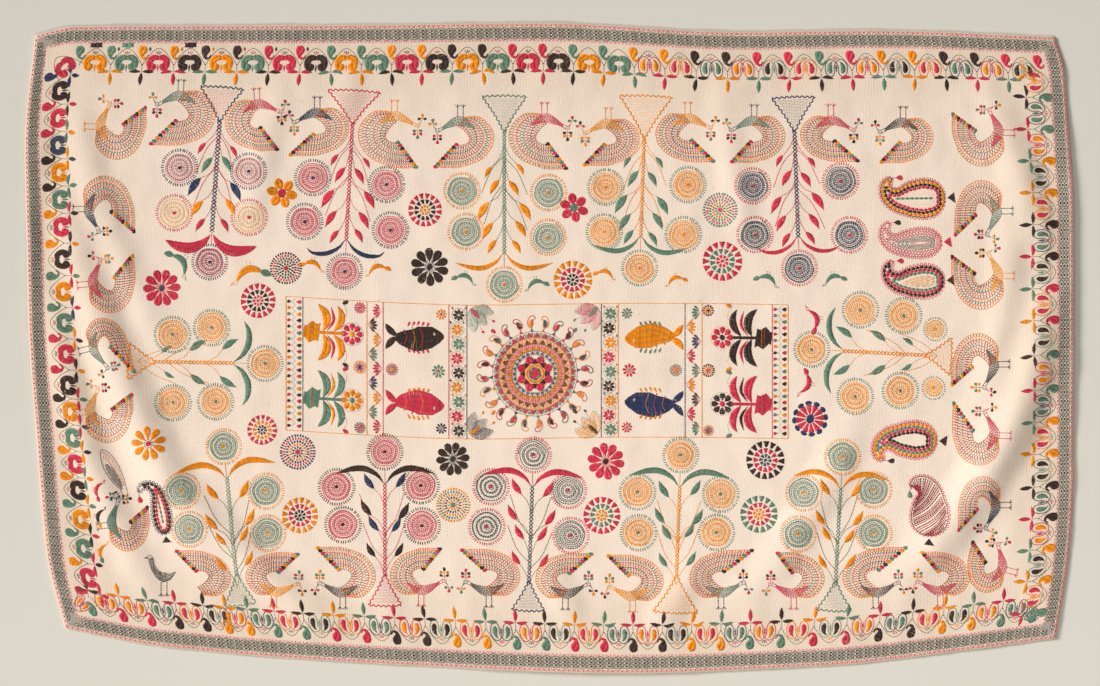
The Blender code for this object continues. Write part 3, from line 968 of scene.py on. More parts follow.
# -------------------------------------------------------- the field's positions
TREES = [
    # x, y, turn, height, flower places (mm), braid, body, rim, eye, leaves, horns, stem, accent,
    # triangle (half width, height), leaf rows, horn (reach, half thickness), half rope
    (-0.563, 0.449, -184, 300, [(63, 142), (-56, 140), (67, 220), (-62, 219)],
     "navy", "pink", "navy", "navy", ("crimson", "green", "navy", "ochre"), "crimson", "crimson", "slate",
     (37, 60), TOP_LEAVES, (79, 9.5, 7.0), 4.0, ("peach", "crimson", "crimson", "cream")),
    (-0.336, 0.443, -183, 310, [(63, 152), (-64, 157), (73, 228), (-75, 235)],
     "crimson", "pink", "slate", "navy", ("crimson",), "navy", "pink", "pink",
     (45, 58), TOP_LEAVES, (67, 4.0, 0.0), 3.2),
    (-0.078, 0.434, -180, 323, [(73, 162), (-76, 165), (66, 232), (-75, 242)],
     "green", "pale_green", "ochre", "ochre", ("ochre",), "ochre", "green", "pale_green",
     (38, 62), TOP_LEAVES, (84, 4.4, 0.0), 3.2),
    (0.165, 0.434, -182, 295, [(63, 158), (-78, 149), (63, 235), (-73, 235)],
     "ochre", "peach", "green", "ochre", ("green",), "green", "ochre", "ochre",
     (45, 74), TOP_LEAVES, (82, 4.4, 0.0), 3.0),
    (0.419, 0.432, -178, 293, [(75, 149), (-76, 146), (74, 233), (-88, 239)],
     "navy", "slate", "crimson", "crimson", ("crimson",), "crimson", "crimson", "navy",
     (37, 60), TOP_LEAVES, (72, 3.6, 0.0), 3.6),
    (-0.532, -0.439, 6, 273, [(-72, 138), (60, 117), (-78, 205), (64, 189)],
     "pale_green", "pale_green", "ochre", "ochre", ("ochre",), "ochre", "olive", "green",
     (27, 55), FOOT_LEAVES, (86, 5.4, 0.0), 3.6),
    (-0.283, -0.440, 0, 263, [(-72, 138), (64, 136), (-83, 203), (62, 205)],
     "crimson", "pink", "black", "black", ("black", "navy"), "black", "pink", "crimson",
     (28, 55), FOOT_LEAVES, (84, 5.4, 0.0), 3.1),
    (-0.037, -0.449, -2, 267, [(-76, 141), (69, 131), (-71, 210), (62, 208)],
     "slate", "slate", "crimson", "crimson", ("crimson",), "crimson", "olive", "cream",
     (28, 52), FOOT_LEAVES, (86, 5.4, 0.0), 3.2),
    (0.216, -0.452, -2, 270, [(-68, 134), (66, 139), (-72, 204), (71, 205)],
     "ochre", "peach", "green", "green", ("green",), "green", "ochre", "ochre",
     (38, 64), FOOT_LEAVES, (86, 5.4, 0.0), 3.0),
    (0.489, -0.449, -3, 264, [(-69, 128), (61, 136), (-63, 199), (57, 210)],
     "green", "pale_green", "ochre", "ochre", ("ochre",), "ochre", "olive", "green",
     (30, 52), FOOT_LEAVES, (82, 4.8, 0.0), 3.2),
    (-0.722, -0.021, -91, 233, [(-47, 73), (70, 76), (-60, 140), (67, 149)],
     "ochre", "peach", "green", "green", ("green",), "green", "ochre", "ochre",
     (31, 45), SIDE_LEAVES, (72, 5.4, 0.0), 3.2),
    (0.689, -0.013, 87, 239, [(66, 84), (-63, 83), (72, 159), (-77, 160)],
     "ochre", "peach", "green", "green", ("green",), "green", "ochre", "ochre",
     (32, 45), SIDE_LEAVES, (74, 5.0, 0.0), 3.2),
]
ROWS = (
    # thread of each line of a tail, and of the ladder of ticks after it
    (("crimson", "slate"), ("ochre", "black"), ("green", "crimson"), ("ochre", "slate"), ("crimson", "green"),
     ("ochre", "black"), ("crimson", "slate"), ("ochre", "crimson")),
    (("ochre", "slate"), ("crimson", "green"), ("ochre", "black"), ("slate", "crimson"), ("ochre", "slate"),
     ("crimson", "ochre"), ("green", "black"), ("ochre", "crimson")),
    (("green", "crimson"), ("ochre", "black"), ("crimson", "slate"), ("ochre", "crimson"), ("green", "slate"),
     ("ochre", "black"), ("crimson", "ochre"), ("ochre", "slate")),
)
DROPS = ("crimson", "black", "ochre", "green")
PEACOCKS = [
    # x, y, turn, flip, height share, reach of the tail's arm (mm), body colour
    (-0.622, 0.401, 178, 1, 1.13, 58, "pale_green"), (-0.513, 0.388, 184, -1, 1.07, 38, "pink"),
    (-0.386, 0.377, 180, 1, 0.97, 56, "slate"), (-0.280, 0.365, 180, -1, 1.17, 47, "peach"),
    (-0.140, 0.360, 180, 1, 1.05, 53, "pale_green"), (-0.022, 0.362, 180, -1, 1.15, 47, "pink"),
    (0.114, 0.359, 180, 1, 0.95, 50, "peach"), (0.224, 0.367, 180, -1, 0.99, 54, "peach"),
    (0.365, 0.364, 180, 1, 0.95, 48, "pale_green"), (0.470, 0.365, 180, -1, 0.93, 56, "pink"),
    (0.621, 0.362, 180, 1, 0.91, 47, "drab"),
    (0.740, 0.358, 90, 1, 1.05, 42, "pink"), (0.740, 0.250, 90, -1, 0.95, 50, "pale_green"),
    (0.739, 0.112, 90, 1, 1.05, 43, "peach"), (0.734, -0.013, 90, -1, 0.95, 45, "drab"),
    (0.734, -0.160, 88, 1, 0.93, 62, "pink"), (0.740, -0.255, 90, -1, 0.87, 52, "slate"),
    (0.751, -0.385, 76, 1, 0.80, 42, "pink"), (0.685, -0.389, 0, -1, 0.89, 42, "pink"),
    (0.546, -0.389, 2, 1, 1.01, 64, "drab"), (0.433, -0.392, 0, -1, 0.93, 38, "pink"),
    (0.280, -0.391, 2, 1, 0.95, 66, "pale_green"), (0.156, -0.397, 0, -1, 0.93, 51, "peach"),
    (0.014, -0.393, 0, 1, 0.91, 54, "drab"), (-0.091, -0.388, 0, -1, 0.95, 56, "drab"),
    (-0.234, -0.386, 0, 1, 0.95, 42, "pink"), (-0.342, -0.388, 0, -1, 1.03, 53, "drab"),
    (-0.484, -0.389, -4, 1, 0.89, 45, "peach"),
    (-0.741, 0.369, -90, -1, 1.03, 42, "peach"), (-0.761, 0.255, -88, 1, 1.01, 51, "slate"),
    (-0.753, 0.102, -84, -1, 0.95, 50, "pink"), (-0.763, 0.021, -76, 1, 0.78, 66, "pale_green"),
    (-0.758, -0.119, -86, -1, 1.00, 34, "peach"), (-0.724, -0.311, -82, -1, 0.85, 30, "green"),
]
ROSETTES = [
    # x, y, style, radius (mm), colours
    (-0.460, 0.268, "open", 26, "ochre", "crimson", "ochre"),
    (-0.214, 0.239, "wedge", 28, "crimson", "black", "ochre"),
    (0.042, 0.243, "open", 25, "crimson", "green", "crimson"),
    (0.293, 0.239, "rings", 30, "green", "pink", "ochre"),
    (-0.666, 0.105, "daisy", 31, "crimson", "slate", "crimson"),
    (-0.453, 0.139, "rings", 28, "black", "crimson", "black"),
    (-0.501, 0.083, "wedge", 29, "crimson", "black", "crimson"),
    (-0.206, 0.141, "daisy", 32, "black", "black", "slate"),
    (0.040, 0.119, "wedge", 32, "ochre", "crimson", "black"),
    (0.297, 0.151, "wedge", 33, "crimson", "green", "crimson"),
    (-0.687, -0.162, "nine", 28, "ochre", "crimson", "slate"),
    (-0.494, -0.139, "wedge", 25, "crimson", "ochre", "black"),
    (-0.433, -0.177, "rings", 31, "navy", "crimson", "ochre"),
    (-0.429, -0.286, "wedge", 30, "ochre", "crimson", "black"),
    (-0.166, -0.189, "daisy", 28, "black", "black", "slate"),
    (-0.166, -0.268, "rings", 30, "ochre", "green", "slate"),
    (0.097, -0.193, "daisy", 31, "crimson", "black", "crimson"),
    (0.090, -0.286, "wedge", 31, "crimson", "green", "ochre"),
    (0.371, -0.191, "wedge", 32, "black", "crimson", "slate"),
    (0.360, -0.284, "wedge", 31, "green", "crimson", "ochre"),
    (0.448, -0.120, "tipped", 29, "navy", "crimson", "crimson"),
]
KALKAS = [
    # x, y, turn, flip, fringe (zigzag, edge line), rings, heart, foot, tip drop, size, slimness
    (0.682, 0.260, 90, -1, ("crimson", "black"), ("ochre", "black", "crimson"), "stem", "black", "crimson",
     0.98, 0.98),
    (0.676, 0.184, 90, -1, ("pink", "crimson"), ("pink", "pink"), "rows", "crimson", "black", 0.95, 0.74),
    (0.681, 0.118, 90, -1, ("pink", "crimson"), ("black", "crimson", "green"), "hatch", "black", "crimson",
     0.95, 0.86),
    (0.668, -0.158, 90, 1, ("pink", "crimson"), ("ochre", "green", "crimson", "black"), "plain", "black",
     "black", 0.98, 0.92),
    (0.651, -0.323, 0, 1, ("crimson", "black"), ("crimson", "black"), "stripes", "black", "green", 0.90,
     1.02),
    (-0.660, -0.320, 12, 1, ("navy", "black"), ("black", "crimson"), "stem", "black", "crimson", 0.86, 0.52),
]
SMALL_BIRDS = [
    # x, y, turn, flip, body, tail, size
    (-0.634, 0.149, 142, -1, "green", "green", 0.95), (-0.517, 0.132, 180, 1, "ochre", "green", 1.12),
    (-0.407, 0.146, 180, -1, "ochre", "ochre", 0.72), (-0.297, 0.139, 180, 1, "ochre", "ochre", 0.72),
    (-0.145, 0.123, 180, -1, "green", "green", 0.70), (-0.024, 0.113, 180, 1, "green", "green", 0.70),
    (0.096, 0.131, 180, -1, "ochre", "ochre", 0.64), (0.216, 0.120, 180, 1, "ochre", "ochre", 0.64),
    (0.375, 0.121, 176, -1, "green", "green", 0.74), (0.488, 0.122, 180, 1, "green", "green", 0.70),
    (0.456, 0.052, 90, 1, "crimson", "crimson", 0.80), (0.442, -0.060, 90, -1, "crimson", "crimson", 0.80),
    (-0.775, -0.241, -90, -1, "crimson", "crimson", 0.62), (-0.773, -0.287, -90, -1, "black", "ochre", 0.62),
    (-0.770, -0.347, -90, -1, "ochre", "green", 0.62),
]


# ------------------------------------------------------------ the centre strip
STRIP_X, STRIP_Y, STRIP_HALF = -0.025, -0.0385, 112.0


def strip(points):
    """Carries the centre strip's millimetres to the cloth; its left arm drifts
    slightly upwards."""
    p = np.asarray(points, float)
    drift = 14.0 * (np.maximum(0, -p[..., 0] - 100) / 330) ** 1.2 + 2.0 * np.sin(p[..., 0] / 130)
    return np.stack([STRIP_X + p[..., 0] / 1000, STRIP_Y + (p[..., 1] + drift) / 1000], -1)


def at_strip(x, y, turn=0.0, size=1.0, flip=1):
    """Carries a motif's millimetres to (x, y) in the strip's own: mirrored if flip
    is -1, scaled and turned anticlockwise."""
    c, s = math.cos(math.radians(turn)) * size, math.sin(math.radians(turn)) * size

    def lay(points):
        # mirror, then turn, scale and move, then to the strip
        p = np.asarray(points, float) * (flip, 1)
        return strip(np.stack([x + c * p[..., 0] - s * p[..., 1], y + s * p[..., 0] + c * p[..., 1]], -1))
    return lay


def mandala():
    """The lotus: a round heart, two broken rings, an eight-petalled star over eight
    wedges, rings of wedges on a ground of close circles, and a halo of small
    paisleys on little feet."""
    lay = at_strip(0, -4)
    dot("crimson", 8.0, lay)
    for k in range(12):
        spine = [ray_at(30 * k) * 9.6, ray_at(30 * k + 25.783) * 9.7]
        satin(("green", "slate")[k % 2], spine, 1.7, np.ones_like, lay, gap=0.0012)
    for k in range(10):
        satin("ochre", arc(0, 0, 14.2, 36 * k, 36 * k + 35.5, 6), 2.5, np.ones_like, lay)
    wedges("black", 17.0, 26.5, 8, lay, plump=0.95)
    petals("crimson", 18.0, 32.0, 7.8, 8, lay, start=22.5, shape=lambda t: np.sin(np.pi * t ** 0.8) ** 0.5)
    hoop("slate", 32.4, 90, lay, gap=0.0003)
    ground = (("drab", 0.0012), ("crimson", 0.0019), ("ochre", 0.0018), ("green", 0.0016))
    for k, r in enumerate(np.arange(34.5, 71.0, 2.3)):
        colour, wide = ground[k // 4 % 4]
        hoop(colour, r, 90, lay, gap=0.0003, wide=wide)
    wedges("slate", 33.4, 38.6, 26, lay)
    hoop("black", 39.8, 90, lay, gap=0.0004, wide=0.0013)
    wedges("ochre", 41.0, 48.6, 26, lay)
    hoop("ochre", 40.6, 90, lay, gap=0.0003, wide=0.0013)
    wedges("black", 51.6, 59.6, 26, lay, start=7)
    hoop("black", 50.4, 110, lay, gap=0.0004, wide=0.0010)
    fan_ticks("crimson", 44.5, 48.5, 26, lay)
    fan_ticks("olive", 54.5, 59.5, 26, lay, start=7.0)
    hoop("ochre", 61.6, 130, lay, gap=0.0003, wide=0.0014)
    wedges("crimson", 63.0, 71.0, 30, lay, start=3)
    fan_ticks("black", 65.5, 71.0, 30, lay, start=3.0)
    fan_ticks("slate", 66.0, 70.5, 60, lay, start=1.0, wide=0.0009)
    hoop("crimson", 62.4, 130, lay, gap=0.0003, wide=0.0013)
    hoop("slate", 72.6, 150, lay, gap=0.0003)
    for k in range(24):
        t = 15.0 * k + 4
        foot = at_strip(*(ray_at(t) * 73.0 + (0, -4)), t - 90)
        shade = ("navy", "ochre", "green", "crimson")[k % 4]
        satin(shade, [(0, 0), (0, 5.5)], 3.6, lambda v: 1.05 - v, foot, wide=0.0017)
        bud = at_strip(*(ray_at(t) * 80.0 + (0, -4)), t - 90, 0.94, (-1, 1)[k % 2])
        shade = ("crimson", "slate", "ochre", "black")[k % 4]
        satin(shade, [(1.0, 1), (2.0, 6), (1.0, 11), (-2, 15)], 4.4,
              lambda v: np.sin(np.pi * v ** 0.7) ** 0.7, bud, wide=0.0017)
        run(("olive", "ochre", "pink", "crimson")[k % 4],
            through([(0.5, -1.5), (6.0, 3), (6.6, 12), (1.5, 20), (-5.5, 20.5), (-7.5, 15), (-3.0, 13),
                     (-3.0, 6), (0.5, -1.5)]),
            bud, long=0.0026, gap=0.0003, wide=0.0022)


def corner_fan(x, y, turn, wing, bud):
    """A quarter fan of hatched petals springing from a corner of the square."""
    lay = at_strip(x, y, turn, 1.3)
    edge = "slate" if wing != "slate" else "black"
    for lean in (14, 45, 76):
        ray = ray_at(lean)
        out = np.array([-ray[1], ray[0]]) * 7.8
        satin(wing, [ray * 5, ray * 20, ray * 33], 7.4, leaf, lay, gap=0.0021, wide=0.0013, skew=0.3)
        run(edge, through([ray * 4, ray * 19 + out, ray * 34, ray * 19 - out, ray * 4]), lay,
            long=0.0024, gap=0.0005, wide=0.0009)
    satin(bud, [(2, 2), (9, 9), (15, 15)], 3.2, leaf, lay)
    satin(bud, [(30, 30), (35, 35)], 2.6, disc, lay)
    for lean in (30, 60):
        ray = ray_at(lean)
        run(bud, [ray * 26, ray * 36], lay, wide=0.0009)
        satin(bud, [ray * 36, ray * 40], 1.8, disc, lay)


def up_the_strip(count):
    """Numbers and heights of motifs spaced evenly from the strip's foot to its top."""
    return enumerate(-STRIP_HALF + 2 * STRIP_HALF * (k + 0.5) / count for k in range(count))


def wheel_column(x0, x1, shades):
    """A column of small spoked wheels, with leaves in the gaps between."""
    mid, r = (x0 + x1) / 2, min(9.8, (x1 - x0) / 2 - 2.2)
    for k, y in up_the_strip(9):
        shade = shades[k % len(shades)]
        lay = at_strip(mid + 1.5 * (-1) ** k, y - 2)
        petals(shade, 1.5, r, 2.5, 8, lay, start=k * 11.0)
        hoop(shade if shade != "ochre" else "green", r + 2.2, 30, lay, gap=0.0003, wide=0.0010)
        for flip in (-1, 1):
            satin(shades[(k + 1) % len(shades)],
                  [(flip * (r + 0.5), 9.5), (flip * (r + 2.0), 14.5)], 2.2, leaf, lay, wide=0.0016)


def fan_column(x0, x1, shades):
    """A column of half fans of drops, left and right in turn along a waving stem."""
    mid, half = (x0 + x1) / 2, (x1 - x0) / 2
    wave = []
    for k, y in up_the_strip(9):
        flip = (-1) ** k
        lay = at_strip(mid + flip * (half - 2.5), y, 90 if flip > 0 else -90)
        for lean in (-48, -24, 0, 24, 48):
            ray = ray_at(90 + lean)
            satin(shades[k % len(shades)], [ray * 3.5, ray * 15.5], 2.3, drop, lay, wide=0.0017)
        wave.append((mid + flip * (half - 3.0), y))
    run("crimson", through(wave), strip, gap=0.0004)


def drop_border(x0, x1, shades):
    """A narrow border of drops in facing pairs on a zigzag stem."""
    zig = []
    for k, y in up_the_strip(21):
        satin(shades[k % 4], [(x0 + 9.0, y), (x0 + 2.2, y)], 3.1, drop, strip, wide=0.0018)
        satin(shades[(k * 3 + 1) % 4], [(x1 - 11.0, y), (x1 - 2.6, y)], 3.6, drop, strip, wide=0.0018)
        zig += [(x0 + 10, y), ((x0 + x1) / 2 + 2, y + 5)]
    run("slate", zig, strip, long=0.0024, gap=0.0004, wide=0.0008)


def pot_plant(lay, main, second, third):
    """A flowering pot: banded urn, stout stem, two pairs of sweeping leaves and
    an open flower."""
    urn = ([0, 0.12, 0.45, 0.8, 1], [0.62, 0.5, 1.0, 0.72, 0.86])
    satin(main, [(0, 0), (0, 6), (0, 24)], 17, lambda s: np.interp(s, *urn), lay)
    for up, shade in ((11, second), (15, third)):
        run(shade, [(-13, up), (13, up)], lay, gap=0.0002, wide=0.0022)
    satin(main, [(0, 24), (0, 62)], 2.4, np.ones_like, lay)
    for flip in (-1, 1):
        turned = shifted(lay, scale=(flip, 1))
        satin(main, [(2, 30), (17, 36), (31, 33), (43, 22)], 6.4, leaf, turned)
        satin(main, [(2, 46), (15, 56), (29, 58), (42, 52)], 5.6, leaf, turned)
        satin(second, [(3, 36), (20, 46), (40, 42)], 2.4, leaf, turned)
        satin(third, [(45, 60), (50, 68)], 3.2, disc, turned)
        run(third, through([(16, 58), (32, 66), (44, 62)]), turned, wide=0.0009)
    petals(second, 5, 16, 4.6, 8, shifted(lay, (0, 74)))
    dot(main, 4.2, lay, y=74)
    hoop(third, 17.4, 40, lay, y=74, wide=0.0010)


def fish(lay, main, second, third):
    """A plump fish with banded body, comb fins and a forked tail, nose upwards."""
    body = ([0, 0.12, 0.45, 0.75, 0.93, 1], [0.30, 0.58, 1.0, 0.86, 0.42, 0.12])
    satin(main, [(0, 18), (3, 45), (0, 72), (-2, 94)], 20, lambda s: np.interp(s, *body), lay)
    for flip in (-1, 1):
        satin(main, [(0, 20), (flip * 9, 9), (flip * 20, 1)], 5.4, leaf, lay)
        for k in range(5):
            up = 36 + 7.5 * k
            satin(second, [(flip * (19 - abs(k - 2) * 1.2), up), (flip * (26 - abs(k - 2)), up + 4)], 2.0,
                  drop, lay)
    for k in range(3):
        up = 30 + 13 * k
        reach = (12, 16.5, 15.5)[k]
        run((second, third)[k % 2], through([(-reach, up), (1.5, up + 5), (reach, up)]), lay,
            gap=0.0002, wide=0.0024)
    dot("cream", 2.5, lay, -6.0, 79)
    dot(third, 1.0, lay, -6.0, 79)


STRIP_ROSETTES = [
    # x, y, radius (mm), style, colours
    (-301, 1, 11, "wedge", "ochre", "crimson", "navy"),
    (-301, 103, 9, "tipped", "crimson", "pink", "green"),
    (-301, -103, 9, "tipped", "green", "crimson", "pink"),
    (298, 0, 11, "wedge", "black", "ochre", "crimson"),
    (298, 103, 9, "tipped", "navy", "ochre", "crimson"),
    (298, -103, 9, "wedge", "ochre", "navy", "crimson"),
    (-166, 0, 11, "nine", "green", "crimson", "navy"),
    (-246, 0, 10, "wedge", "crimson", "navy", "ochre"),
    (162, 0, 11, "nine", "crimson", "ochre", "navy"),
    (242, 0, 10, "wedge", "green", "crimson", "ochre"),
    (-161, 98, 9, "nine", "ochre", "crimson", "navy"),
    (-161, -98, 9, "nine", "navy", "ochre", "navy"),
    (158, 98, 9, "nine", "green", "crimson", "navy"),
    (158, -98, 9, "nine", "crimson", "ochre", "navy"),
]
STRIP_EDGES = [
    # left and right line of each figured column (mm)
    (-428, -399), (-289, -261), (-148, -117), (114, 143), (258, 287), (408, 435),
]
STRIP_LINES = ("ochre", "slate", "ochre", "crimson", "crimson", "slate",
               "slate", "ochre", "slate", "ochre", "crimson", "ochre")


def centre_strip():
    """Five squares between thin lines: the lotus in the middle, and either side
    fish, then flowering pots, divided by narrow figured columns."""
    edges, top, low = STRIP_EDGES, STRIP_HALF + 3, -STRIP_HALF - 3
    for y in (top, low):
        line = [(x, y) for x in np.linspace(edges[0][0], edges[-1][1], 60)]
        run("ochre", line, strip, gap=0.0004, wide=0.0016)
    for shade, x in zip(STRIP_LINES, np.ravel(edges)):
        run(shade, [(x, y) for y in np.linspace(low, top, 24)], strip, gap=0.0004, wide=0.0022)
    drop_border(*edges[0], ("black", "crimson", "green", "ochre"))
    drop_border(*edges[5], ("crimson", "black", "ochre", "green"))
    fan_column(*edges[1], ("crimson", "green", "ochre", "navy", "crimson", "green", "ochre", "black",
                           "crimson"))
    fan_column(*edges[4], ("green", "crimson", "black", "ochre", "green", "crimson", "navy", "ochre",
                           "green"))
    wheel_column(*edges[2], ("black", "crimson", "green", "ochre"))
    wheel_column(*edges[3], ("green", "crimson", "ochre", "black"))
    mandala()
    for x, y, turn, wing, bud in ((-114, 112, -90, "pale_green", "crimson"), (111, 112, 180, "pink", "green"),
                                  (-114, -112, 0, "slate", "ochre"), (111, -112, 90, "peach", "black")):
        corner_fan(x, y, turn, wing, bud)
    pot_plant(at_strip(-398, 57, -90, 1.13), "ochre", "crimson", "black")
    pot_plant(at_strip(-398, -57, -90, 1.13), "green", "ochre", "crimson")
    pot_plant(at_strip(407, 57, 90, 1.15), "black", "crimson", "ochre")
    pot_plant(at_strip(407, -57, 90, 1.15), "crimson", "black", "green")
    fish(at_strip(-258, 57, -90, 1.08), "black", "crimson", "ochre")
    fish(at_strip(-258, -57, -90, 1.08, -1), "crimson", "ochre", "black")
    fish(at_strip(256, 57, 90, 1.08), "ochre", "green", "crimson")
    fish(at_strip(256, -57, 90, 1.08, -1), "navy", "ochre", "crimson")
    for x, y, r, style, *colours in STRIP_ROSETTES:
        rosette(at_strip(x, y), style, r, *colours)


def embroider():
    """All the embroidery, from the hem inwards: borders and corners, trees,
    peacocks and single birds, rosettes, paisleys, small birds, centre strip."""
    for side in ("far", "near", "left", "right"):
        pattern_band(side)
        vine_side(side)
    for x, y, turn, kind, colour, size in (
            (-0.831, 0.483, 45, "solid", "crimson", 0.95), (0.813, 0.467, -45, "sprig", "ochre", 1.0),
            (-0.801, -0.436, 135, "open", "ochre", 0.70), (0.826, -0.454, -135, "open", "green", 0.66)):
        vine_corner(x, y, turn, kind, colour, size)
    for x, y, turn, *rest in TREES:
        tree(place(x, y, turn), *rest)
    for k, (x, y, turn, flip, tall, reach, body) in enumerate(PEACOCKS):
        order = DROPS[k % 4:] + DROPS[:k % 4]
        peacock(place(x, y, turn, flip), body, ROWS[k % 3], order, tall, reach, solid=body == "green")
    peacock_tail(place(-0.587, -0.389, 0, -1), ROWS[0], DROPS, 0.93, 50)
    standing_bird(place(-0.6686, -0.3832))
    folded_bird(place(-0.747, -0.213, -56))
    for x, y, style, r, one, two, three in ROSETTES:
        rosette(place(x, y, rng.uniform(0, 40)), style, r, one, two, three)
    for x, y in ((0.663, 0.034), (0.660, -0.067)):
        wheel(place(x, y), 20.0, "peach", "green", "ochre")
    for x, y, turn, flip, fringe, rings, heart, foot, tip, size, slim in KALKAS:
        kalka(place(x, y, turn, flip), fringe, rings, heart, foot, tip, size, slim)
    for x, y, turn, flip, body, tail, size in SMALL_BIRDS:
        small_bird(place(x, y, turn, flip), body, tail, size)
    centre_strip()


# ------------------------------------------------------------------ the meshes
MAP_SIZE = (1.90, 1.20)     # metres that a flat map of stitches spans


def added(name, data):
    """An object at the origin, linked to the scene."""
    thing = bpy.data.objects.new(name, data)
    bpy.context.scene.collection.objects.link(thing)
    return thing


def mesh_of(name, points, faces):
    """An object at the origin from an array of points and, for each face size, an
    array of corner numbers."""
    mesh = bpy.data.meshes.new(name)
    corners = np.concatenate([block.ravel() for block in faces])
    sizes = np.concatenate([np.full(len(block), block.shape[1]) for block in faces])
    mesh.vertices.add(len(points))
    mesh.vertices.foreach_set("co", np.ascontiguousarray(points, np.float32).ravel())
    mesh.loops.add(len(corners))
    mesh.loops.foreach_set("vertex_index", corners.astype(np.int32))
    mesh.polygons.add(len(sizes))
    mesh.polygons.foreach_set("loop_start", (np.cumsum(sizes) - sizes).astype(np.int32))
    mesh.polygons.foreach_set("use_smooth", np.ones(len(sizes), bool))
    mesh.update(calc_edges=True)
    mesh.validate()
    return added(name, mesh)


def map_from(piece, flat):
    """Gives the piece its flat map, from a flat place for each of its points."""
    mesh = piece.data
    corner = np.empty(len(mesh.loops), np.int32)
    mesh.loops.foreach_get("vertex_index", corner)
    layer = mesh.uv_layers.new(name="OFBake")
    layer.data.foreach_set("uv", flat[corner].astype(np.float32).ravel())


def number_on(piece, name, values):
    """Gives the piece a named number for each of its points."""
    piece.data.attributes.new(name, "FLOAT", "POINT").data.foreach_set("value", values.astype(np.float32))


def build_cloth(along, across, x, y, low, high):
    """Face and back as two grids over the same plan, joined round the hem."""
    long, wide = CELLS_LONG + 1, CELLS_WIDE + 1
    back = np.stack([x, y, low], -1).reshape(-1, 3)
    face = np.stack([x, y, high], -1).reshape(-1, 3)
    number = np.arange(long * wide).reshape(wide, long)
    down = np.stack([number[1:, :-1], number[1:, 1:], number[:-1, 1:], number[:-1, :-1]], -1).reshape(-1, 4)
    total = long * wide
    up = down[:, ::-1] + total
    round_edge = np.concatenate([number[0, :-1], number[:-1, -1], number[-1, :0:-1], number[:0:-1, 0]])
    after = np.roll(round_edge, -1)
    rim = np.stack([round_edge, after, after + total, round_edge + total], 1)
    cloth = mesh_of("quilt_cloth", np.vstack([back, face]), [down, up, rim])
    # each side's distance from the hem, at the band's own share of its full width
    place_up = (across - 0.5) * SIDE_WIDE * 1000
    band = np.minimum(np.minimum(across, 1 - across) * SIDE_WIDE,
                      np.minimum(along * SIDE_LONG / band_share("left", place_up),
                                 (1 - along) * SIDE_LONG / band_share("right", place_up))).ravel()
    number_on(cloth, "into_band", np.concatenate([band, band]))
    # the back on the flat map's lower half, the face on its upper half
    flat = np.stack([along.ravel(), across.ravel()], 1) * (0.98, 0.47) + (0.01, 0.01)
    map_from(cloth, np.vstack([flat, flat + (0, 0.50)]))
    return cloth


def cut_long(rows):
    """Long stitches cut into equal lengths of LONGEST at most, so that each lies
    on the cloth's rise and fall, every length reaching NIP past an inner cut to
    meet its neighbour's ridge; also the number of lengths of each stitch."""
    a, b = rows[:, 0:2], rows[:, 2:4]
    length = np.maximum(np.hypot(*(b - a).T), 1e-6)
    parts = np.maximum(np.ceil(length / LONGEST), 1).astype(int)
    total, first = np.repeat(parts, parts), np.repeat(np.cumsum(parts) - parts, parts)
    turn = np.arange(len(total)) - first
    ahead = np.repeat((b - a) / length[:, None], parts, axis=0)
    step = np.repeat((b - a) / parts[:, None], parts, axis=0)
    start = np.repeat(a, parts, axis=0) + step * turn[:, None]
    end = start + step + ahead * (NIP * (turn < total - 1))[:, None]
    start = start - ahead * (NIP * (turn > 0))[:, None]
    return np.hstack([start, end, np.repeat(rows[:, 4:5], parts, axis=0)]), parts


def strands(colour, work, face):
    """All the stitches of one colour as one piece.  A stitch is a strand with a
    three-sided section: two feet sunk a little into the cloth and a ridge above
    them, which starts and ends short of the feet so that both ends slope down."""
    rows = np.vstack(work)
    skein = rng.uniform(0, 1, len(rows))
    rows, parts = cut_long(rows)
    skein = np.repeat(skein, parts)
    a, b, width = rows[:, 0:2], rows[:, 2:4], rows[:, 4:5]
    length = np.maximum(np.hypot(*(b - a).T)[:, None], 1e-6)
    ahead = (b - a) / length
    side = np.stack([-ahead[:, 1], ahead[:, 0]], 1) * (width * FOOT_SHARE + FOOT_SPREAD)
    nip = ahead * np.minimum(length * 0.25, NIP)
    flat = np.stack([a + side, a - side, a + nip, b + side, b - side, b - nip], 1)
    ridge = np.array([0, 0, 1, 0, 0, 1])
    z = on_cloth(flat[..., 0], flat[..., 1], face) - FOOT_SUNK + ridge * (RIDGE_LEAST + width * RIDGE_SHARE)
    points = np.concatenate([flat, z[..., None]], -1).reshape(-1, 3)
    first = (np.arange(len(rows)) * 6)[:, None]
    quads = [first + np.array(q) for q in ((0, 2, 5, 3), (1, 4, 5, 2), (0, 3, 4, 1))]
    ends = [first + np.array(t) for t in ((0, 1, 2), (3, 5, 4))]
    piece = mesh_of("stitches_" + colour, points, [np.concatenate(quads), np.concatenate(ends)])
    number_on(piece, "skein", np.repeat(skein, 6))
    map_from(piece, points[:, :2] / MAP_SIZE + 0.5)
    return piece


# --------------------------------------------------------------- the materials


def group(name, inputs, outputs):
    """An empty shader node group with named float, colour or vector sockets."""
    tree = bpy.data.node_groups.new(name, "ShaderNodeTree")
    for label, kind, value in inputs:
        socket = tree.interface.new_socket(label, in_out="INPUT", socket_type=kind)
        if value is not None:
            socket.default_value = value
    for label, kind in outputs:
        tree.interface.new_socket(label, in_out="OUTPUT", socket_type=kind)
    return tree, tree.nodes.new("NodeGroupInput"), tree.nodes.new("NodeGroupOutput")


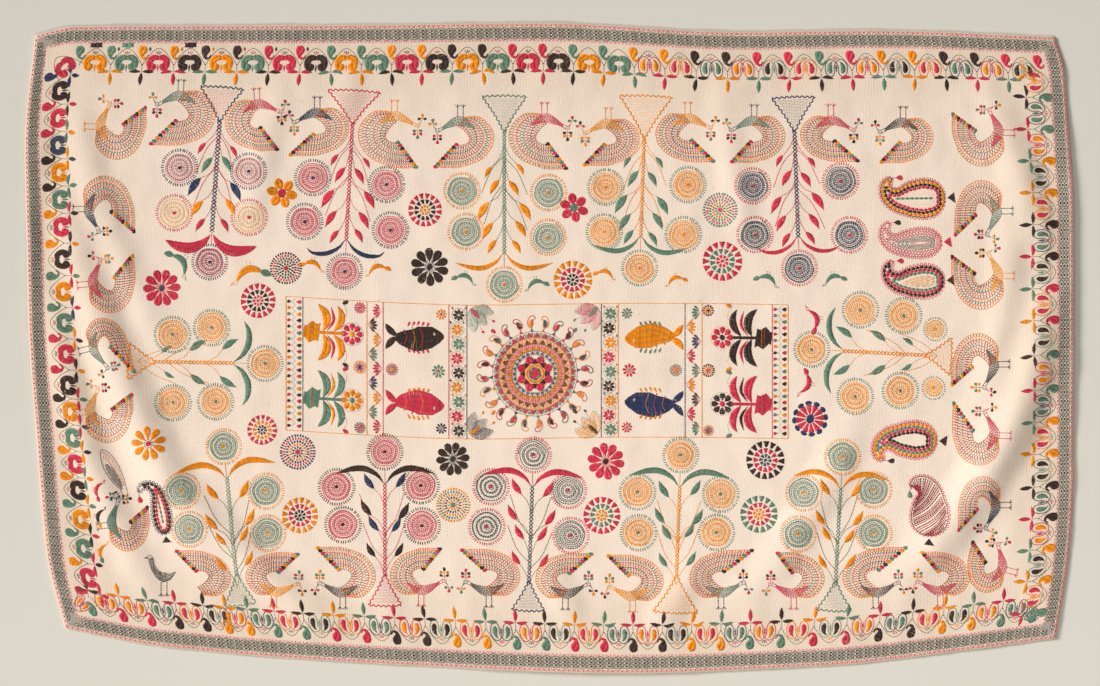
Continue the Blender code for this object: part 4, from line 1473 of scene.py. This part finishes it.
def feed(tree, slot, value):
    """Sets a socket to a number or a colour, or links it to another node."""
    if isinstance(value, tuple):
        slot.default_value = (*value, 1.0)
    elif isinstance(value, (int, float)):
        slot.default_value = value
    else:
        tree.links.new(value, slot)


def math_node(tree, kind, *values):
    """One step of arithmetic on values or other nodes."""
    node = tree.nodes.new("ShaderNodeMath")
    node.operation = kind
    for slot, value in zip(node.inputs, values):
        feed(tree, slot, value)
    return node.outputs[0]


def arithmetic(tree):
    """Plus, minus and times for the nodes of one tree."""
    kinds = ("ADD", "SUBTRACT", "MULTIPLY")
    return [lambda one, two, kind=kind: math_node(tree, kind, one, two) for kind in kinds]


def mix_node(tree, factor, one, two):
    """The first colour passing into the second by a share."""
    node = tree.nodes.new("ShaderNodeMix")
    node.data_type = "RGBA"
    for number, value in ((0, factor), (6, one), (7, two)):
        feed(tree, node.inputs[number], value)
    return node.outputs[2]


def noise_node(tree, where, scale, detail=2.0, rough=0.5):
    """Cloudy noise of `scale` waves a metre."""
    node = tree.nodes.new("ShaderNodeTexNoise")
    node.inputs["Scale"].default_value = scale
    node.inputs["Detail"].default_value = detail
    node.inputs["Roughness"].default_value = rough
    tree.links.new(where, node.inputs["Vector"])
    return node.outputs["Fac"]


def step_node(tree, value, low, high):
    """A smooth rise from nothing at `low` to one at `high`."""
    node = tree.nodes.new("ShaderNodeMapRange")
    node.interpolation_type = "SMOOTHSTEP"
    tree.links.new(value, node.inputs["Value"])
    node.inputs["From Min"].default_value, node.inputs["From Max"].default_value = low, high
    return node.outputs[0]


def quilting_group():
    """White running stitch that holds the layers: rows of short dashes, each row
    shifted from the last, wandering a little.  Puts out the dashes as a mask and
    the cloth's height between them."""
    tree, inside, out = group("quilting_rows", [("Vector", "NodeSocketVector", None),
                              ("Row", "NodeSocketFloat", 0.0042), ("Stitch", "NodeSocketFloat", 0.0050)],
                              [("Dashes", "NodeSocketFloat"), ("Height", "NodeSocketFloat")])
    plus, minus, times = arithmetic(tree)
    warp = tree.nodes.new("ShaderNodeTexNoise")
    warp.inputs["Scale"].default_value = 9.0
    warp.inputs["Detail"].default_value = 1.0
    tree.links.new(inside.outputs["Vector"], warp.inputs["Vector"])
    shift = tree.nodes.new("ShaderNodeVectorMath")
    shift.operation = "MULTIPLY_ADD"
    tree.links.new(warp.outputs["Color"], shift.inputs[0])
    shift.inputs[1].default_value = (0.035, 0.035, 0.0)
    tree.links.new(inside.outputs["Vector"], shift.inputs[2])
    parts = tree.nodes.new("ShaderNodeSeparateXYZ")
    tree.links.new(shift.outputs[0], parts.inputs[0])
    rows = math_node(tree, "DIVIDE", parts.outputs[0], inside.outputs["Row"])
    odd = times(math_node(tree, "MODULO", math_node(tree, "FLOOR", rows), 2.0), 0.5)
    along = plus(math_node(tree, "DIVIDE", parts.outputs[1], inside.outputs["Stitch"]), odd)
    # distance from the middle of a row, and from the middle of a dash
    across, reach = (math_node(tree, "ABSOLUTE", minus(math_node(tree, "FRACT", way), 0.5))
                     for way in (rows, along))
    dash = times(minus(1.0, step_node(tree, across, 0.06, 0.20)),
                 minus(1.0, step_node(tree, reach, 0.22, 0.34)))
    tree.links.new(dash, out.inputs["Dashes"])
    puff = minus(1.0, times(across, 1.4))
    tree.links.new(minus(puff, times(dash, 0.55)), out.inputs["Height"])
    return tree


def weave_group():
    """Plain weave: warp and weft as two crossed fine waves."""
    tree, inside, out = group("plain_weave",
                              [("Vector", "NodeSocketVector", None), ("Threads", "NodeSocketFloat", 900.0)],
                              [("Height", "NodeSocketFloat")])
    parts = tree.nodes.new("ShaderNodeSeparateXYZ")
    tree.links.new(inside.outputs["Vector"], parts.inputs[0])
    times = arithmetic(tree)[2]
    waves = [math_node(tree, "SINE", times(times(part, inside.outputs["Threads"]), 2 * math.pi))
             for part in parts.outputs[:2]]
    tree.links.new(times(*waves), out.inputs["Height"])
    return tree


def age_group():
    """Old cotton's unevenness: broad warm and cool drifts, foxed specks."""
    tree, inside, out = group("age", [("Vector", "NodeSocketVector", None)],
                              [("Drift", "NodeSocketFloat"), ("Specks", "NodeSocketFloat"),
                               ("Stain", "NodeSocketFloat")])
    where = inside.outputs["Vector"]
    tree.links.new(noise_node(tree, where, 3.2, 4.0, 0.6), out.inputs["Drift"])
    tree.links.new(step_node(tree, noise_node(tree, where, 55.0, 1.0), 0.745, 0.80), out.inputs["Specks"])
    tree.links.new(step_node(tree, noise_node(tree, where, 7.0, 3.0, 0.65), 0.60, 0.82), out.inputs["Stain"])
    return tree


def raise_surface(tree, shader, height, strength, distance):
    """Bumps the surface by a height, `distance` metres at its greatest."""
    bump = tree.nodes.new("ShaderNodeBump")
    bump.inputs["Strength"].default_value = strength
    bump.inputs["Distance"].default_value = distance
    tree.links.new(height, bump.inputs["Height"])
    tree.links.new(bump.outputs[0], shader.inputs["Normal"])


CREAM_DARK, CREAM_LIGHT = (0.838, 0.668, 0.525), (0.912, 0.755, 0.618)     # linear colours
# the first of these is painted shade: the darker tone given to the cloth towards its edges
PAINTED_EDGE_SHADE, STAINED, FOXED = (0.690, 0.520, 0.370), (0.700, 0.560, 0.370), (0.500, 0.370, 0.220)
QUILTING_WHITE = (0.930, 0.860, 0.720)
HEM_TINTS = (
    # from and to, metres in from the edge; half its soft edge; colour; share
    (0.0022, 0.0072, 0.0009, (0.760, 0.440, 0.360), 0.75),
    (0.0074, 0.0270, 0.0006, (0.345, 0.300, 0.240), 0.92),
    (0.0266, 0.0315, 0.0010, (0.780, 0.500, 0.430), 0.55),
)
COTTON_BUMP, THREAD_BUMP = 0.0007, 0.0002     # metres


def cotton_material(quilting, weave, age):
    """Cream quilted cotton: drifts, stains and foxing, a painted shade darkening
    the cloth towards its edges, white quilting dashes, the drab ground under the
    darned band and pink bled from the red rows at the hem."""
    material = bpy.data.materials.new("quilted_cotton")
    material.use_nodes = True
    tree = material.node_tree
    plus, minus, times = arithmetic(tree)
    shader = tree.nodes["Principled BSDF"]
    where = tree.nodes.new("ShaderNodeTexCoord").outputs["Object"]

    def add(kind):
        # a shared effect, on the piece's own coordinates
        node = tree.nodes.new("ShaderNodeGroup")
        node.node_tree = kind
        tree.links.new(where, node.inputs["Vector"])
        return node
    rows, cloth, old = add(quilting), add(weave), add(age)
    hem = tree.nodes.new("ShaderNodeAttribute")
    hem.attribute_name = "into_band"
    depth = hem.outputs["Fac"]
    ground = mix_node(tree, old.outputs["Drift"], CREAM_DARK, CREAM_LIGHT)
    # the first mask lays painted shade: the cloth darkened towards its edges, where it slopes
    for mask, share, colour in ((minus(1.0, step_node(tree, depth, 0.02, 0.19)), 0.50, PAINTED_EDGE_SHADE),
                                (old.outputs["Stain"], 0.35, STAINED),
                                (old.outputs["Specks"], 0.25, FOXED),
                                (rows.outputs["Dashes"], 0.30, QUILTING_WHITE)):
        ground = mix_node(tree, times(mask, share), ground, colour)
    drift = noise_node(tree, where, 40.0, 2.0)
    for start, end, soft, colour, share in HEM_TINTS:
        zone = times(step_node(tree, depth, start - soft, start + soft),
                     minus(1.0, step_node(tree, depth, end - soft, end + soft)))
        amount = times(zone, times(share, plus(0.72, times(drift, 0.5))))
        ground = mix_node(tree, math_node(tree, "MINIMUM", amount, 1.0), ground, colour)
    tree.links.new(ground, shader.inputs["Base Color"])
    tree.links.new(plus(0.84, times(old.outputs["Drift"], 0.12)), shader.inputs["Roughness"])
    shader.inputs["Specular IOR Level"].default_value = 0.18
    height = plus(times(rows.outputs["Height"], 1.0), times(cloth.outputs["Height"], 0.18))
    height = plus(height, times(noise_node(tree, where, 130.0, 3.0, 0.6), 0.9))
    raise_surface(tree, shader, height, 0.55, COTTON_BUMP)
    return material


def thread_group():
    """Dyed cotton thread: each stitch a little lighter or darker than its
    neighbours, faded in soft patches, with a fine twist."""
    tree, inside, out = group("dyed_thread",
                              [("Vector", "NodeSocketVector", None),
                               ("Dye", "NodeSocketColor", (0.5, 0.5, 0.5, 1.0)),
                               ("Stitch", "NodeSocketFloat", 0.5)],
                              [("Colour", "NodeSocketColor"), ("Roughness", "NodeSocketFloat"),
                               ("Height", "NodeSocketFloat")])
    plus, minus, times = arithmetic(tree)
    where = inside.outputs["Vector"]
    fade = noise_node(tree, where, 16.0, 3.0, 0.6)
    value = plus(0.80, times(inside.outputs["Stitch"], 0.34))
    value = plus(value, times(minus(fade, 0.5), 0.45))
    tone = tree.nodes.new("ShaderNodeHueSaturation")
    tree.links.new(value, tone.inputs["Value"])
    tree.links.new(inside.outputs["Dye"], tone.inputs["Color"])
    worn = times(step_node(tree, fade, 0.58, 0.82), 0.07)
    tree.links.new(mix_node(tree, worn, tone.outputs["Color"], (0.78, 0.68, 0.52)), out.inputs["Colour"])
    tree.links.new(plus(0.50, times(fade, 0.25)), out.inputs["Roughness"])
    tree.links.new(noise_node(tree, where, 1500.0, 1.0), out.inputs["Height"])
    return tree


def thread_material(colour, dye, thread):
    """Cotton thread of one dye, its stitches told apart by their skein number."""
    material = bpy.data.materials.new("thread_" + colour)
    material.use_nodes = True
    tree = material.node_tree
    shader = tree.nodes["Principled BSDF"]
    node = tree.nodes.new("ShaderNodeGroup")
    node.node_tree = thread
    tree.links.new(tree.nodes.new("ShaderNodeTexCoord").outputs["Object"], node.inputs["Vector"])
    node.inputs["Dye"].default_value = (*dye, 1.0)
    skein = tree.nodes.new("ShaderNodeAttribute")
    skein.attribute_name = "skein"
    tree.links.new(skein.outputs["Fac"], node.inputs["Stitch"])
    tree.links.new(node.outputs["Colour"], shader.inputs["Base Color"])
    tree.links.new(node.outputs["Roughness"], shader.inputs["Roughness"])
    shader.inputs["Specular IOR Level"].default_value = 0.14
    raise_surface(tree, shader, node.outputs["Height"], 0.4, THREAD_BUMP)
    return material


FLOOR_REACH, FLOOR_HEIGHT = 30, -0.0012
VIEW_WIDE, LENS, FILM = 1.892, 85.0, 36.0     # width seen, metres; lens and film, mm
VIEW_MIDDLE = (0.0009, 0.0103)
LAMPS = (
    # name, kind, place, the sun's angle or the lamp's size, power
    ("key", "SUN", (-3.6, 1.2, 2.2), math.radians(24), 3.42),
    ("overhead", "AREA", (0.0, -2.7, 4.0), 2.4, 102.0),
)


def studio():
    """A pale floor, a soft sun from the left, a broad lamp over the near side, a
    dim room, and a camera straight above."""
    mesh = bpy.data.meshes.new("floor")
    corners = [(x * FLOOR_REACH, y * FLOOR_REACH, FLOOR_HEIGHT)
               for x, y in ((-1, -1), (1, -1), (1, 1), (-1, 1))]
    mesh.from_pydata(corners, [], [(0, 1, 2, 3)])
    floor = added("floor", mesh)
    paint = bpy.data.materials.new("floor_paint")
    paint.use_nodes = True
    shader = paint.node_tree.nodes["Principled BSDF"]
    shader.inputs["Base Color"].default_value = (0.66, 0.625, 0.545, 1.0)
    shader.inputs["Roughness"].default_value = 0.95
    mesh.materials.append(paint)
    for name, kind, spot, size, power in LAMPS:
        light = bpy.data.lights.new(name, kind)
        light.energy = power
        if kind == "SUN":
            light.angle = size
        else:
            light.size = size
        lamp = added(name, light)
        lamp.location = spot
        lamp.rotation_euler = (-Vector(spot)).to_track_quat("-Z", "Y").to_euler()
    world = bpy.data.worlds.new("room")
    world.use_nodes = True
    air = world.node_tree.nodes["Background"]
    air.inputs["Color"].default_value = (1.0, 0.985, 0.96, 1.0)
    air.inputs["Strength"].default_value = 0.16
    bpy.context.scene.world = world
    bpy.context.scene.view_settings.view_transform = "Standard"
    view = bpy.data.cameras.new("camera")
    view.lens, view.sensor_width = LENS, FILM
    camera = added("camera", view)
    camera.location = (*VIEW_MIDDLE, VIEW_WIDE * LENS / FILM)
    bpy.context.scene.camera = camera


embroider()
grid = cloth_grid()
cloth = build_cloth(*grid)
cloth.data.materials.append(cotton_material(quilting_group(), weave_group(), age_group()))
thread = thread_group()
stitches = []
for colour, dye in THREADS.items():
    piece = strands(colour, WORK[colour], grid[-1])
    piece.data.materials.append(thread_material(colour, dye, thread))
    stitches.append(piece)
for piece in [cloth] + stitches:
    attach(piece, "root")
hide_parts("quilt")
studio()
